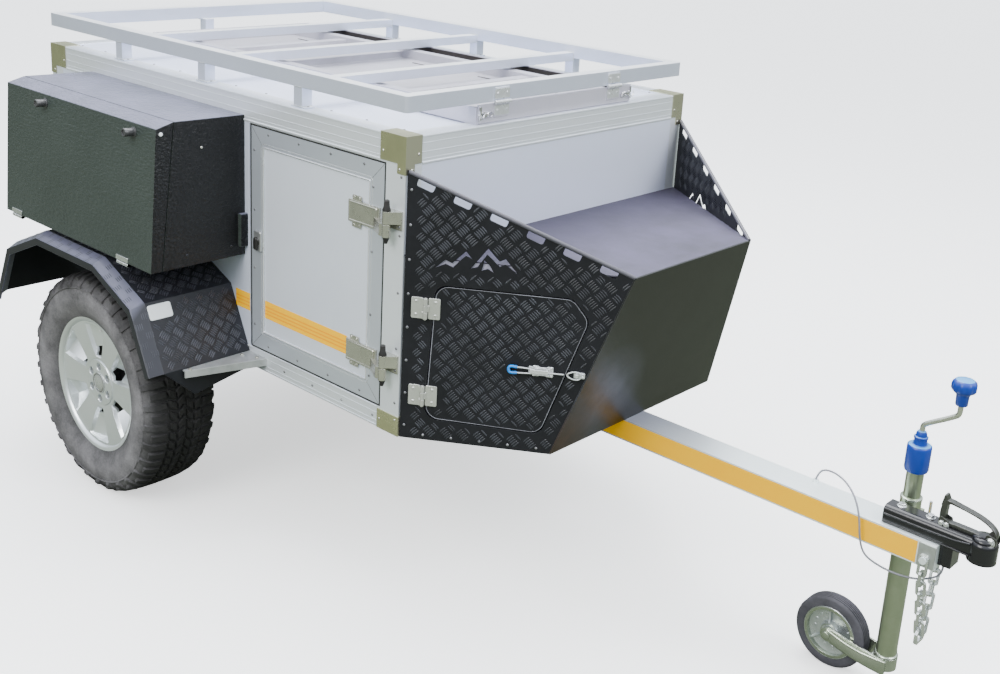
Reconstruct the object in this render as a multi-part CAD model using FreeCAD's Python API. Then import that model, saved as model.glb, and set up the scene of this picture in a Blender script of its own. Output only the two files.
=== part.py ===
import FreeCAD, Part
import math
import os

os.makedirs("parts", exist_ok=True)

# Single-axle box trailer standing on its two road wheels and its jockey wheel.
# Millimetres. Worked out from the axle: x forward, y to the left, z up from the floor.
# The right side is built and the left one is its mirror image.

# overrun of cuts, and the clearances that pieces keep
overrun = 5.0
running_clearance = 0.05
touch_gap = 0.3
door_gap = 6.0
swing_gap = 9.0
hatch_gap = 4.0

# road wheels
tyre_radius = 388.0
tyre_width = 265.0
sidewall_height = 159.0
bead_half_width = 105.0
flange_height = 19.0
flange_thickness = 8.0
barrel_wall = 9.0
tyre_to_body = 19.5
lug_count = 32
lug_depth = 10.0
lug_reach = 52.0
tread_crown = 2.0
shoulder_inset = 20.0
spoke_count = 6
spoke_setback = 16.0
spoke_depth = 30.0
window_inner_radius = 94.0
window_length = 36.0
window_inner_width = 22.0
window_outer_width = 34.0
pocket_to_seat = 22.0
pocket_outer_depth = 9.0
pocket_outer_width = 96.0
pocket_draft = 7.0
boss_radius = 92.0
boss_inner_offset = 30.0
boss_outer_offset = 84.0
cap_radius = 36.0
cap_clearance = 0.5
cap_outer_offset = 93.0
hub_flange_radius = 84.0
hub_flange_thickness = 12.0
hub_radius = 46.0
hub_inner_offset = -58.0
spindle_radius = 20.0
spindle_end_offset = 12.0
spindle_end_gap = 4.0

# axle beam and leaf springs
beam_size = 50.0
beam_gap_to_hub = 6.0
spring_inset = 198.0
spring_width = 60.0
spring_span = 700.0
spring_camber = 26.0
leaf_thickness = 7.0
leaf_length_shares = (1.0, 0.78, 0.56, 0.36)
spring_eye_radius = 14.0
u_bolt_radius = 6.0
u_bolt_spread = 46.0
u_bolt_plate_thickness = 8.0
u_bolt_plate_margin = 14.0

# chassis under the box
rail_width = 50.0
rail_end_inset = 40.0
cross_member_width = 50.0
cross_member_places_share = (0.02, 0.35, 0.66, 0.97)
hanger_thickness = 6.0
hanger_length = 70.0
eye_below_rail = 23.0
hanger_bolt_radius = 9.0
hanger_bolt_head = 7.0

# drawbar
drawbar_half_width = 48.0
drawbar_height = 70.0
drawbar_wall = 5.0
drawbar_end = 2606.0
drawbar_cap_thickness = 4.0
cable_gland_radius = 8.0
cable_gland_height = 8.0
cable_gland_x = 2212.0
cable_gland_y = 36.0

# box
body_rear = -677.0
body_front = 1232.0
body_half_width = 648.0
body_height = 883.0
wall = 30.0
bottom_ring_height = 67.0
top_ring_height = 83.0
ring_width = 60.0
post_length = 78.0
post_width = 60.0
roof_thickness = 20.0
roof_drop = 3.0
floor_thickness = 18.0
floor_lift = 12.0

# stainless corner plates
plate_gauge = 2.5
top_plate_length = 104.0
top_plate_front = 60.0
top_plate_height = 77.0
top_plate_leg = 105.0
top_plate_leg_width = 34.0
low_plate_length = 91.0
low_plate_front = 60.0
low_plate_height = 60.0

# doors
side_door_length = 610.0
door_frame_width = 59.0
door_panel_recess = 4.0
latch_length = 33.0
latch_height = 63.0
latch_proud = 9.0
latch_inset = 22.0
latch_rise = 432.0

# strap hinges of the doors, about the pin at their middle
pin_out = 30.0
pin_past_door = 45.0
pin_radius = 7.0
pin_below = 46.0
pin_above = 66.0
strap_barrel_radius = 12.0
strap_thickness = 6.0
arm_length = 188.0
arm_plate_end = 57.0
arm_below = 37.0
arm_above = 28.0
bracket_below = 17.0
bracket_above = 37.0
bracket_back = 33.0
bracket_fore = 35.0
barrel_split = 1.0
upper_hinge_drop = 157.0
lower_hinge_rise = 138.0

# small butt hinges of the hatches, the side box doors and the table flap
knuckle_radius = 6.0
knuckle_pin_radius = 3.0
knuckle_length = 20.0
knuckle_gap = 0.5
leaf_gauge = 3.0
knuckle_lift = 1.0

# nose box
nose_wing_drop = 89.0
nose_run = 535.0
nose_floor_run = 368.0
nose_deck_height = 552.0
nose_taper = 357.0
nose_plate = 4.0
nose_rear_gap = 3.0
hatch_corner_radius = 38.0
hatch_hinge_before_edge = 9.1
hatch_hinge_leaf = 41.0
upper_hatch_hinge_rise = 403.0
lower_hatch_hinge_rise = 139.0
slot_length = 50.0
slot_width = 20.0
slot_below_edge = 16.0
slot_count = 6
slot_first_share = 0.095
slot_last_share = 0.895
hatch_latch_length = 71.0
hatch_latch_height = 24.0
hatch_latch_proud = 10.0
hatch_latch_from_edge = 70.0
hatch_latch_rise = 252.0
catch_length = 30.0
catch_past_edge = 24.0

# hatch outline, as shares of the wing's length and of its height at the rear
hatch_u_share = (0.123, 0.153, 0.746, 0.821, 0.639)
hatch_z_share = (0.089, 0.593, 0.593, 0.519, 0.078)

# cut-outs of a plain range of hills, as shares of its own length and height
ridge_start_share = 0.143
ridge_length_share = 0.367
ridge_above_hatch = 53.0
ridge_height = 70.0
near_hill_shares = ((0.0, 0.0), (0.12, 0.38), (0.20, 0.26), (0.36, 0.80), (0.44, 0.50), (0.36, 0.62),
                    (0.32, 0.50), (0.21, 0.08), (0.12, 0.20))
main_hill_shares = ((0.42, 0.10), (0.62, 1.0), (0.76, 0.52), (0.83, 0.64), (1.0, 0.0), (0.83, 0.42),
                    (0.76, 0.30), (0.66, 0.62), (0.61, 0.76), (0.50, 0.20))
low_hill_shares = ((0.58, 0.50), (0.64, 0.34), (0.70, 0.02), (0.62, 0.16), (0.55, 0.06))

# roof rack
rack_rear_overhang = 16.0
rack_front_inset = 13.0
rack_side_inset = 8.0
rack_lift = 63.0
rack_rail_height = 46.0
rack_rail_width = 40.0
rack_corner_radius = 10.0
crossbar_drop = 26.0
crossbar_height = 30.0
crossbar_width = 40.0
crossbar_middle_x = 262.0
crossbar_spacing = 490.0
post_size = 38.0
post_foot = 62.0
post_foot_thickness = 5.0

# table tray, table and flap
tray_rear = -460.0
tray_half_width = 362.0
tray_gauge = 4.0
tray_below_bars = 2.0
table_right = -346.0
table_left = 292.0
table_lift = 7.0
table_below_tray_top = 6.0
table_rear_gap = 14.0
table_front_gap = 16.0
table_bar = 42.0
table_panel = 8.0
table_bar_count = 4
flap_gauge = 6.0
flap_end_gap = 3.0
flap_bottom_gap = 4.0
flap_hinge_y = 264.0
flap_pin_below_rail = 2.0
flap_top_below_rail = 6.0
flap_leaf_width = 40.0

# fenders
fender_centre_x = 20.0
fender_above_tyre = 130.0
fender_shoulder_rise = 424.0
fender_end_rise = 222.0
fender_top_half = 184.0
fender_shoulder_half = 404.0
fender_end_half = 503.0
fender_past_tyre = 30.5
fender_lip_out = 40.0
fender_lip_drop = 19.0
fender_lip_height = 22.0
fender_gauge = 4.0
apron_inner_depth = 59.0
apron_tip_depth = 97.0
apron_cut_back = 108.0
stay_gauge = 5.0
stay_length = 92.0
stay_reach = 250.0
stay_tip = 14.0
stay_return = 24.0
stay_below_fold = 3.0

# side boxes
side_box_rear = -395.0
side_box_front = 502.0
side_box_above_fender = 25.0
side_box_inner_drop = 63.0
side_box_fold_drop = 59.0
side_box_face_drop = 75.0
side_box_fold_out = 247.0
side_box_split_out = 297.0
side_box_face_top_out = 308.0
side_box_face_bottom_out = 337.0
side_box_wall = 18.0
side_door_gauge = 5.0
side_box_seam = 3.0
side_hinge_places = (-322.0, 341.0)
side_hinge_pin_inset = 4.0
side_hinge_tab = 14.0
turn_latch_places = (-139.0, 385.0)
turn_latch_below_edge = 28.0
turn_latch_radius = 12.0
turn_latch_proud = 9.0
end_tab_length = 16.0
end_tab_out = 26.0
end_tab_lift = 29.0
end_tab_height = 109.0

# coupler
coupler_rear = 2445.0
coupler_half_width = 31.0
coupler_height = 48.0
socket_x = 2704.0
socket_outer_radius = 37.0
socket_radius = 25.3
socket_hang = 12.0
socket_straight = 28.0
coupler_tongue_length = 34.0
coupler_tongue_drop = 58.0
coupler_tongue_half_width = 26.0
handle_root_above_rail = 48.0
handle_half_width = 13.0
handle_u_share = (0.0, -0.06, 0.12, 0.55, 0.92, 1.0, 0.92, 0.35)
handle_z_share = (0.0, 1.0, 0.93, 0.80, 0.47, 0.14, 0.0, 0.0)
handle_root_x = 2590.0
handle_length = 148.0
handle_height = 82.0
handle_bar = 11.0

# jockey wheel
jockey_x = 2470.0
jockey_y = 82.0
jockey_tube_radius = 28.5
jockey_tube_bottom = 112.0
jockey_tube_above_rail = 42.0
jockey_inner_radius = 23.0
jockey_inner_length = 78.0
jockey_spigot_radius = 19.0
jockey_spigot_length = 50.0
spigot_end_gap = 3.0
clamp_wall = 8.0
clamp_slit = 4.8
clamp_above_rail_bottom = 8.0
clamp_height = 50.0
clamp_ear = 26.0
clamp_ear_thickness = 18.0
grip_radius = 33.0
grip_length = 116.0
crank_radius = 7.0
crank_shaft_length = 16.0
crank_arm_x = 90.0
crank_arm_rise = 64.0
crank_tip_length = 54.0
knob_radius = 33.0
knob_height = 72.0
knob_socket = 30.0
jockey_wheel_radius = 108.0
jockey_wheel_width = 50.0
jockey_trail = 165.0
jockey_hub_radius = 79.0
jockey_hub_boss = 26.0
jockey_web = 10.0
jockey_axle_radius = 8.0
jockey_axle_head = 13.0
fork_side_gap = 4.0
fork_plate = 6.0
fork_head_radius = 33.0
fork_head_bottom = 74.0
fork_eye_radius = 20.0

# tail lamps and number plate
lamp_length = 104.0
lamp_height = 44.0
lamp_depth = 22.0
lamp_to_plate = 6.0
number_plate_length = 440.0
number_plate_height = 116.0
number_plate_gauge = 4.0
number_plate_drop = 62.0

# safety chain: a strand on each side of the drawbar, meeting in a ring below the coupler
chain_wire = 6.5
chain_link_width = 27.0
chain_gap = 0.6
chain_strand_links = 6
chain_bolt_x = 2580.0
chain_bolt_drop = 46.0
chain_bolt_radius = 5.0
chain_bolt_length = 9.0
chain_bolt_head = 10.0
chain_bolt_head_length = 5.0
chain_first_pitch = 45.0
chain_end_forward = 15.0
chain_end_drop = 219.0
chain_end_y = -34.0
chain_end_spread = 8.0
ring_wire = 8.0
chain_ring_width = 54.0
chain_ring_height = 40.0
link_corner_share = 0.30

# breakaway cable, from the gland on the drawbar's top over its right side to the coupler's tongue
cable_radius = 2.75
cable_route = ((2212, 36, 568.8), (2219, 35, 594), (2242, 29, 612), (2286, 9, 622), (2336, -24, 622),
               (2376, -52, 603), (2398, -64, 562), (2406, -65, 508), (2420, -60, 464), (2456, -50, 444),
               (2506, -40, 434), (2556, -28, 436), (2592, -18, 450), (2612, -13, 466), (2618, -12, 485),
               (2618, -12, 501.7))
bend_share = 0.45

# places worked out from the sizes above
axle_z = tyre_radius
bead_radius = tyre_radius - sidewall_height
flange_radius = bead_radius + flange_height
pocket_outer_radius = bead_radius - pocket_to_seat
beam_top = axle_z + beam_size / 2
spring_stack = leaf_thickness * len(leaf_length_shares)
spring_eye_z = beam_top + spring_stack + spring_camber
rail_bottom = spring_eye_z + eye_below_rail
rail_top = rail_bottom + drawbar_height
body_bottom = rail_top
body_top = body_bottom + body_height
track_half = body_half_width + tyre_to_body + tyre_width / 2
spring_y = body_half_width - spring_inset
opening_bottom = body_bottom + bottom_ring_height
opening_top = body_top - top_ring_height
door_bottom = opening_bottom + door_gap
door_top = opening_top - door_gap
front_jamb = body_front - post_length
door_front = front_jamb - door_gap
door_rear = door_front - side_door_length
side_pin_x = door_front + pin_past_door
side_pin_y = body_half_width + pin_out
rear_opening_half = body_half_width - post_width
rear_door_half = rear_opening_half - swing_gap
rear_pin_x = body_rear - pin_out
rear_pin_y = rear_door_half + pin_past_door
latch_centre_z = body_bottom + latch_rise
upper_hinge_z = door_top - upper_hinge_drop
lower_hinge_z = door_bottom + lower_hinge_rise
spring_radius = spring_span ** 2 / (8 * spring_camber) + spring_camber / 2
strap_rise = (u_bolt_spread + u_bolt_radius) ** 2 / (2 * spring_radius)
nose_wing_top = body_top - nose_wing_drop
nose_front_x = body_front + nose_run
nose_floor_x = body_front + nose_floor_run
nose_deck_z = body_bottom + nose_deck_height
wing_angle = math.atan2(nose_taper, nose_run)
nose_rake = math.atan2(nose_run - nose_floor_run, nose_deck_height)
wing_length = math.hypot(nose_run, nose_taper)
wing_height = nose_wing_top - body_bottom
hatch_hinge_u = hatch_u_share[0] * wing_length - hatch_hinge_before_edge
hatch_hinge_places = (body_bottom + upper_hatch_hinge_rise, body_bottom + lower_hatch_hinge_rise)
hatch_latch_z = body_bottom + hatch_latch_rise
hatch_edge_height = (hatch_z_share[3] - hatch_z_share[4]) * wing_height
latch_level_share = (hatch_latch_rise - hatch_z_share[4] * wing_height) / hatch_edge_height
hatch_edge_share = hatch_u_share[4] + latch_level_share * (hatch_u_share[3] - hatch_u_share[4])
hatch_latch_u = hatch_edge_share * wing_length - hatch_latch_from_edge
catch_u = hatch_edge_share * wing_length + catch_past_edge
rack_rear = body_rear - rack_rear_overhang
rack_front = body_front - rack_front_inset
rack_half_width = body_half_width - rack_side_inset
rack_bottom = body_top + rack_lift
rack_top = rack_bottom + rack_rail_height
crossbar_top = rack_top - crossbar_drop
tray_top = crossbar_top - crossbar_height - tray_below_bars
table_bottom = body_top + table_lift
table_top = tray_top - table_below_tray_top
fender_edge = track_half + tyre_width / 2 + fender_past_tyre
fender_top_z = axle_z + tyre_radius + fender_above_tyre
fender_shoulder_z = axle_z + fender_shoulder_rise
fender_end_z = axle_z + fender_end_rise
side_box_bottom = fender_top_z + side_box_above_fender
side_box_inner_top = body_top - side_box_inner_drop
side_box_fold_z = body_top - side_box_fold_drop
side_box_face_top_z = body_top - side_box_face_drop
side_box_fold_y = body_half_width + side_box_fold_out
side_box_split_y = body_half_width + side_box_split_out
side_box_face_top_y = body_half_width + side_box_face_top_out
side_box_face_bottom_y = body_half_width + side_box_face_bottom_out
side_hinge_pin_y = side_box_face_bottom_y - side_hinge_pin_inset
side_pin_z = side_box_bottom - knuckle_radius - knuckle_lift
turn_latch_z = side_box_face_top_z - turn_latch_below_edge
socket_bottom = rail_top - socket_hang
clamp_bottom = rail_bottom + clamp_above_rail_bottom
jockey_axle_x = jockey_x - jockey_trail
jockey_tube_top = rail_top + jockey_tube_above_rail
jockey_inner_top = jockey_tube_top + jockey_inner_length
grip_top = jockey_inner_top + grip_length
crank_shaft_top = grip_top + crank_shaft_length
crank_arm_top = crank_shaft_top + crank_arm_rise
crank_tip = crank_arm_top + crank_tip_length
knob_bottom = crank_tip - knob_socket
lamp_y = body_half_width - low_plate_front - lamp_to_plate - lamp_length / 2

# the frame's origin is on the floor, half way between the rear hinge barrels and the coupler's tip
rear_extreme = rear_pin_x - strap_barrel_radius
front_extreme = socket_x + socket_outer_radius
frame_shift = -(rear_extreme + front_extreme) / 2


def at(x, y, z):
    return FreeCAD.Vector(x, y, z)


right_way = at(0, -1, 0)
left_way = at(0, 1, 0)
forward = at(1, 0, 0)
upward = at(0, 0, 1)
origin = at(0, 0, 0)


def block(x0, x1, y0, y1, z0, z1):
    """Box between two corners."""
    return Part.makeBox(x1 - x0, y1 - y0, z1 - z0, at(x0, y0, z0))


def rod(start, way, radius, length):
    """Round bar from a point along a direction."""
    return Part.makeCylinder(radius, length, start, way)


def plate(points, way, thickness):
    """Flat outline of points in space, thickened along a direction."""
    face = Part.Face(Part.makePolygon([*points, points[0]]))
    return face.extrude(way * thickness)


def joined(first, *rest):
    """Solids that touch or overlap, made into one."""
    return first.multiFuse(list(rest)).removeSplitter()


def mirrored(shape):
    """The same piece on the trailer's other side."""
    return shape.mirror(origin, left_way)


def turned(points, centre):
    """Ring from a closed outline of (radius, place along y), turned about a line along y."""
    corners = [at(r, y, 0) for r, y in points]
    face = Part.Face(Part.makePolygon([*corners, corners[0]]))
    ring = face.revolve(origin, left_way, 360)
    ring.translate(centre)
    return ring


def closed_solid(faces):
    """Solid bounded by flat faces, each given by its corner points."""
    shells = [Part.Face(Part.makePolygon([*corners, corners[0]])) for corners in faces]
    return Part.makeSolid(Part.makeShell(shells))


def rounded(shape, way, radius):
    """Fillet on each edge that runs along a direction."""
    edges = [e for e in shape.Edges if abs(e.tangentAt(e.FirstParameter).dot(way)) > 0.999]
    return shape.makeFillet(radius, edges)


def grown(points, margin):
    """Corner points of a flat outline or chain, moved off it by a margin to the left of its run."""
    closed = points[0] == points[-1]
    chain = points[:-1] if closed else points
    count = len(chain)
    result = []
    for i, (x, y) in enumerate(chain):
        before = chain[i - 1] if closed or i > 0 else None
        after = chain[(i + 1) % count] if closed or i < count - 1 else None
        ways = []
        if before is not None:
            ways.append(math.atan2(y - before[1], x - before[0]))
        if after is not None:
            ways.append(math.atan2(after[1] - y, after[0] - x))
        turn = (ways[-1] - ways[0] + math.pi) % (2 * math.pi) - math.pi
        middle = ways[0] + turn / 2
        reach = margin / math.cos(turn / 2)
        result.append((x - reach * math.sin(middle), y + reach * math.cos(middle)))
    return [*result, result[0]] if closed else result


def save(name, *solids):
    """Write one node, moved to the frame's origin."""
    shape = solids[0].copy() if len(solids) == 1 else Part.makeCompound([s.copy() for s in solids])
    shape.translate(at(frame_shift, 0, 0))
    shape.exportStep("parts/" + name + ".step")


def save_pair(name, shape):
    """Write the right piece and its mirror image."""
    save(name + "_right", shape)
    save(name + "_left", mirrored(shape))


# road wheels, about the right one's centre

def tyre():
    """Road tyre in flat facets: bulged sidewalls, and shoulder lugs that alternate from side to side."""
    half = tyre_width / 2
    height = tyre_radius - bead_radius
    side_shares = ((0.0, 0.79), (0.13, 0.79), (0.47, 1.0), (0.90, 0.93))
    side = [(bead_radius + height * up, half * out) for up, out in side_shares]
    edge = half - shoulder_inset
    lug = [(tyre_radius - tread_crown, edge), (tyre_radius, edge - lug_reach)]
    groove = [(r - lug_depth, y) for r, y in lug]
    sectors = 2 * lug_count
    step = 2 * math.pi / sectors
    spread = 1 / math.cos(step / 2)

    def corner(point, k, hand):
        angle = (k - 1 / 2) * step - math.pi / 2
        radius = point[0] * spread
        return at(radius * math.cos(angle), hand * point[1] - track_half, axle_z + radius * math.sin(angle))

    faces = []
    for k in range(sectors):
        for inner in (side[0], lug[-1]):
            faces.append([corner(inner, k, -1), corner(inner, k + 1, -1), corner(inner, k + 1, 1),
                          corner(inner, k, 1)])
        for hand in (-1, 1):
            raised = (k % 2 == 0) == (hand < 0)
            line = [*side, *lug] if raised else [*side, *groove, lug[-1]]
            for a, b in zip(line, line[1:]):
                faces.append([corner(a, k, hand), corner(a, k + 1, hand), corner(b, k + 1, hand),
                              corner(b, k, hand)])
            wall = [side[-1], *lug, *reversed(groove)]
            faces.append([corner(point, k, hand) for point in wall])
    return closed_solid(faces)


def rim():
    """Alloy rim: barrel with two flanges, and a disc with a pocket and a window between its spokes."""
    seat = bead_radius - touch_gap
    inner = seat - barrel_wall
    edge = bead_half_width + flange_thickness
    profile = [(inner, -edge), (flange_radius, -edge), (flange_radius, -bead_half_width - touch_gap),
               (seat, -bead_half_width - touch_gap), (seat, bead_half_width + touch_gap),
               (flange_radius, bead_half_width + touch_gap), (flange_radius, edge), (inner, edge)]
    centre = at(0, -track_half, axle_z)
    barrel = turned(profile, centre)
    face_y = -track_half - edge + spoke_setback
    disc = rod(at(0, face_y, axle_z), left_way, inner + touch_gap, spoke_depth)
    boss = rod(at(0, -track_half - boss_outer_offset, axle_z), left_way, boss_radius,
               boss_outer_offset - boss_inner_offset)
    whole = joined(barrel, disc, boss)
    cuts = [rod(at(0, face_y - overrun, axle_z), left_way, cap_radius + cap_clearance, edge + tyre_width)]
    step = 360 / spoke_count
    for i in range(spoke_count):
        for cut in (window(face_y), pocket(face_y)):
            cuts.append(cut.rotated(centre, left_way, step * (i + 1 / 2)))
    return whole.cut(cuts)


def window(face_y):
    """Tapered opening between two spokes, pointing up, next to the boss."""
    corners = []
    for radius, width in ((window_inner_radius, window_inner_width),
                          (window_inner_radius + window_length, window_outer_width)):
        ends = [at(side * width / 2, face_y - overrun, axle_z + radius) for side in (-1, 1)]
        corners += ends if not corners else reversed(ends)
    return plate(corners, left_way, spoke_depth + 2 * overrun)


def pocket(face_y):
    """Hollow between two spokes, pointing up: deep at its window and shallow at the rim."""
    sections = []
    for radius, width, depth in ((window_inner_radius, window_outer_width, spoke_depth),
                                 (pocket_outer_radius, pocket_outer_width, pocket_outer_depth)):
        high = width / 2
        low = high - pocket_draft
        points = [at(-high, face_y - overrun, axle_z + radius), at(high, face_y - overrun, axle_z + radius),
                  at(low, face_y + depth, axle_z + radius), at(-low, face_y + depth, axle_z + radius)]
        sections.append(Part.makePolygon([*points, points[0]]))
    return Part.makeLoft(sections, True, True)


def hub():
    """Wheel hub: flange behind the rim, barrel on the spindle, and the cap through the rim."""
    back = -track_half - hub_inner_offset
    face = -track_half - boss_inner_offset
    barrel = rod(at(0, back, axle_z), right_way, hub_radius, back - face)
    flange = rod(at(0, face + hub_flange_thickness, axle_z), right_way, hub_flange_radius,
                 hub_flange_thickness)
    cap = rod(at(0, face, axle_z), right_way, cap_radius, cap_outer_offset - boss_inner_offset)
    bore_end = -track_half - spindle_end_offset - spindle_end_gap
    bore = rod(at(0, back + overrun, axle_z), right_way, spindle_radius + running_clearance,
               back + overrun - bore_end)
    return joined(barrel, flange, cap).cut(bore)


# axle, springs, chassis and drawbar

def axle_beam():
    """Square beam with a round spindle at each end, and the spring plates with their U-bolts."""
    end = track_half + hub_inner_offset - beam_gap_to_hub
    half = beam_size / 2
    pieces = [block(-half, half, -end, end, axle_z - half, axle_z + half)]
    tip = track_half + spindle_end_offset
    pieces.append(rod(at(0, -tip, axle_z), left_way, spindle_radius, 2 * tip))
    reach = u_bolt_spread + u_bolt_plate_margin
    width = spring_width / 2 + u_bolt_plate_margin
    bolt_y = spring_width / 2 + u_bolt_radius + touch_gap
    plate_bottom = axle_z - half - u_bolt_plate_thickness
    over = beam_top + spring_stack + strap_rise + touch_gap
    for side in (-1, 1):
        middle = side * spring_y
        pieces.append(block(-reach, reach, middle - width, middle + width, plate_bottom, axle_z - half))
        for along in (-u_bolt_spread, u_bolt_spread):
            for across in (-bolt_y, bolt_y):
                pieces.append(rod(at(along, middle + across, plate_bottom - u_bolt_plate_thickness), upward,
                                  u_bolt_radius, over - plate_bottom + u_bolt_plate_thickness))
            strap = bolt_y + u_bolt_radius
            pieces.append(block(along - u_bolt_radius, along + u_bolt_radius, middle - strap, middle + strap,
                                over, over + u_bolt_radius))
    return joined(*pieces)


def leaf_spring():
    """Four curved leaves on the beam, the top one with an eye at each end."""
    centre_z = beam_top + spring_stack + spring_radius
    y = -spring_y - spring_width / 2
    pieces = []
    for i, share in enumerate(leaf_length_shares):
        inner = spring_radius + i * leaf_thickness
        outer = rod(at(0, y, centre_z), left_way, inner + leaf_thickness, spring_width)
        hollow = rod(at(0, y - overrun, centre_z), left_way, inner, spring_width + 2 * overrun)
        half = share * spring_span / 2
        keep = block(-half, half, y, y + spring_width, beam_top - overrun, centre_z)
        pieces.append(outer.cut(hollow).common(keep))
    for end in (-1, 1):
        pieces.append(rod(at(end * spring_span / 2, y, spring_eye_z), left_way, spring_eye_radius,
                          spring_width))
    return joined(*pieces)


def chassis_rail():
    """Rail under the box with the two spring hangers."""
    y0 = -spring_y - rail_width / 2
    pieces = [block(body_rear + rail_end_inset, body_front - rail_end_inset, y0, y0 + rail_width,
                    rail_bottom, rail_top)]
    inner = spring_width / 2
    outer = inner + hanger_thickness
    half = hanger_length / 2
    low = spring_eye_z - spring_eye_radius
    for end in (-1, 1):
        x = end * spring_span / 2
        pieces.append(block(x - half, x + half, -spring_y - outer, -spring_y + outer,
                            rail_bottom - hanger_thickness, rail_bottom))
        for side in (-1, 1):
            face = -spring_y + side * inner
            cheek = plate([at(x - half, face, rail_bottom), at(x + half, face, rail_bottom),
                           at(x + spring_eye_radius, face, low), at(x - spring_eye_radius, face, low)],
                          left_way * side, hanger_thickness)
            head = rod(at(x, face + side * hanger_thickness, spring_eye_z), left_way * side,
                       hanger_bolt_radius, hanger_bolt_head)
            pieces += [cheek, head]
    return joined(*pieces)


def cross_members():
    """Short members between each rail and the drawbar."""
    length = body_front - body_rear - 2 * rail_end_inset - cross_member_width
    outer = spring_y - rail_width / 2
    pieces = []
    for share in cross_member_places_share:
        x = body_rear + rail_end_inset + share * length
        for side in (-1, 1):
            ends = sorted((side * outer, side * drawbar_half_width))
            pieces.append(block(x, x + cross_member_width, ends[0], ends[1], rail_bottom, rail_top))
    return pieces


def drawbar():
    """Straight box-section drawbar, closed at its front, with the chain's bolts and the cable's gland."""
    rear = body_rear + rail_end_inset
    outer = block(rear, drawbar_end, -drawbar_half_width, drawbar_half_width, rail_bottom, rail_top)
    hollow = block(rear - overrun, drawbar_end - drawbar_cap_thickness, -drawbar_half_width + drawbar_wall,
                   drawbar_half_width - drawbar_wall, rail_bottom + drawbar_wall, rail_top - drawbar_wall)
    gland = at(cable_gland_x, cable_gland_y, rail_top)
    pieces = [rod(gland, upward, cable_gland_radius, cable_gland_height)]
    bolt_z = rail_top - chain_bolt_drop
    for way in (right_way, left_way):
        face = at(chain_bolt_x, 0, bolt_z) + way * drawbar_half_width
        pieces.append(rod(face, way, chain_bolt_radius, chain_bolt_length))
        pieces.append(rod(face + way * chain_bolt_length, way, chain_bolt_head, chain_bolt_head_length))
    return joined(outer.cut(hollow), *pieces)


# box

def ring(z0, z1):
    """Frame round the box between two heights."""
    outer = block(body_rear, body_front, -body_half_width, body_half_width, z0, z1)
    inner = block(body_rear + ring_width, body_front - ring_width, -body_half_width + ring_width,
                  body_half_width - ring_width, z0 - overrun, z1 + overrun)
    return outer.cut(inner)


def corner_posts():
    """Four upright corner posts between the two frames."""
    posts = []
    for x in (body_rear, body_front - post_length):
        for y in (-body_half_width, body_half_width - post_width):
            posts.append(block(x, x + post_length, y, y + post_width, opening_bottom, opening_top))
    return posts


def box_floor():
    """Floor panel inside the bottom frame."""
    inset = ring_width + touch_gap
    return block(body_rear + inset, body_front - inset, -body_half_width + inset, body_half_width - inset,
                 body_bottom, body_bottom + floor_lift + floor_thickness)


def roof_panel():
    """Roof sheet inside the top frame."""
    inset = ring_width
    return block(body_rear + inset, body_front - inset, -body_half_width + inset, body_half_width - inset,
                 body_top - roof_drop - roof_thickness, body_top - roof_drop)


def side_panel():
    """Side wall from the rear post to the door opening."""
    return block(body_rear + post_length, door_rear - swing_gap, -body_half_width, -body_half_width + wall,
                 opening_bottom, opening_top)


def front_panel():
    """Front wall between the front posts."""
    edge = body_half_width - post_width
    return block(body_front - wall, body_front, -edge, edge, opening_bottom, opening_top)


def corner_plate(length, breadth, z0, z1, leg_z, leg_width):
    """Folded sheet over the front right corner, with a leg down the corner where leg_z is lower."""
    x = body_front + plate_gauge
    y = -body_half_width - plate_gauge
    top = z1 + plate_gauge if leg_z < z0 else z1
    outer = block(x - length, x, y, y + breadth, z0, top)
    if leg_z < z0:
        outer = joined(outer, block(x - leg_width, x, y, y + leg_width, leg_z, top))
    inner = block(body_rear, body_front, -body_half_width, body_half_width, body_bottom - overrun, z1)
    return outer.cut(inner)


def corner_plates():
    """Plates on the eight corners of the box."""
    top = corner_plate(top_plate_length, top_plate_front, body_top - top_plate_height, body_top,
                       body_top - top_plate_leg, top_plate_leg_width)
    low = corner_plate(low_plate_length, low_plate_front, body_bottom, body_bottom + low_plate_height,
                       body_bottom, low_plate_front)
    middle = at((body_front + body_rear) / 2, 0, 0)
    plates = []
    for piece in (top, low):
        back = piece.mirror(middle, forward)
        plates += [piece, mirrored(piece), back, mirrored(back)]
    return plates


# doors and their strap hinges

def door_slab(length, height):
    """Door lying along x with its outer face at y = 0: a frame round a slightly recessed panel."""
    slab = block(0, length, 0, wall, 0, height)
    recess = block(door_frame_width, length - door_frame_width, -overrun, door_panel_recess,
                   door_frame_width, height - door_frame_width)
    return slab.cut(recess)


def strap_arm():
    """Moving half of a strap hinge: a strap on the door face, a web and the lower barrel."""
    face = pin_out
    outer = face - strap_thickness
    strap = block(-arm_length, -arm_plate_end, outer, face, -arm_below, arm_above)
    web_back = arm_plate_end + 2 * strap_barrel_radius
    web = plate([at(-web_back, outer, -arm_below), at(-arm_plate_end, face, -arm_below),
                 at(0, strap_thickness, -arm_below),
                 at(0, -strap_barrel_radius + strap_thickness, -arm_below),
                 at(-2 * strap_barrel_radius, -strap_thickness, -arm_below)],
                upward, arm_below - barrel_split)
    barrel = rod(at(0, 0, -arm_below), upward, strap_barrel_radius, arm_below - barrel_split)
    bore = rod(at(0, 0, -arm_below - overrun), upward, pin_radius + running_clearance,
               arm_below + 2 * overrun)
    return joined(strap, web, barrel).cut(bore)


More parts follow.
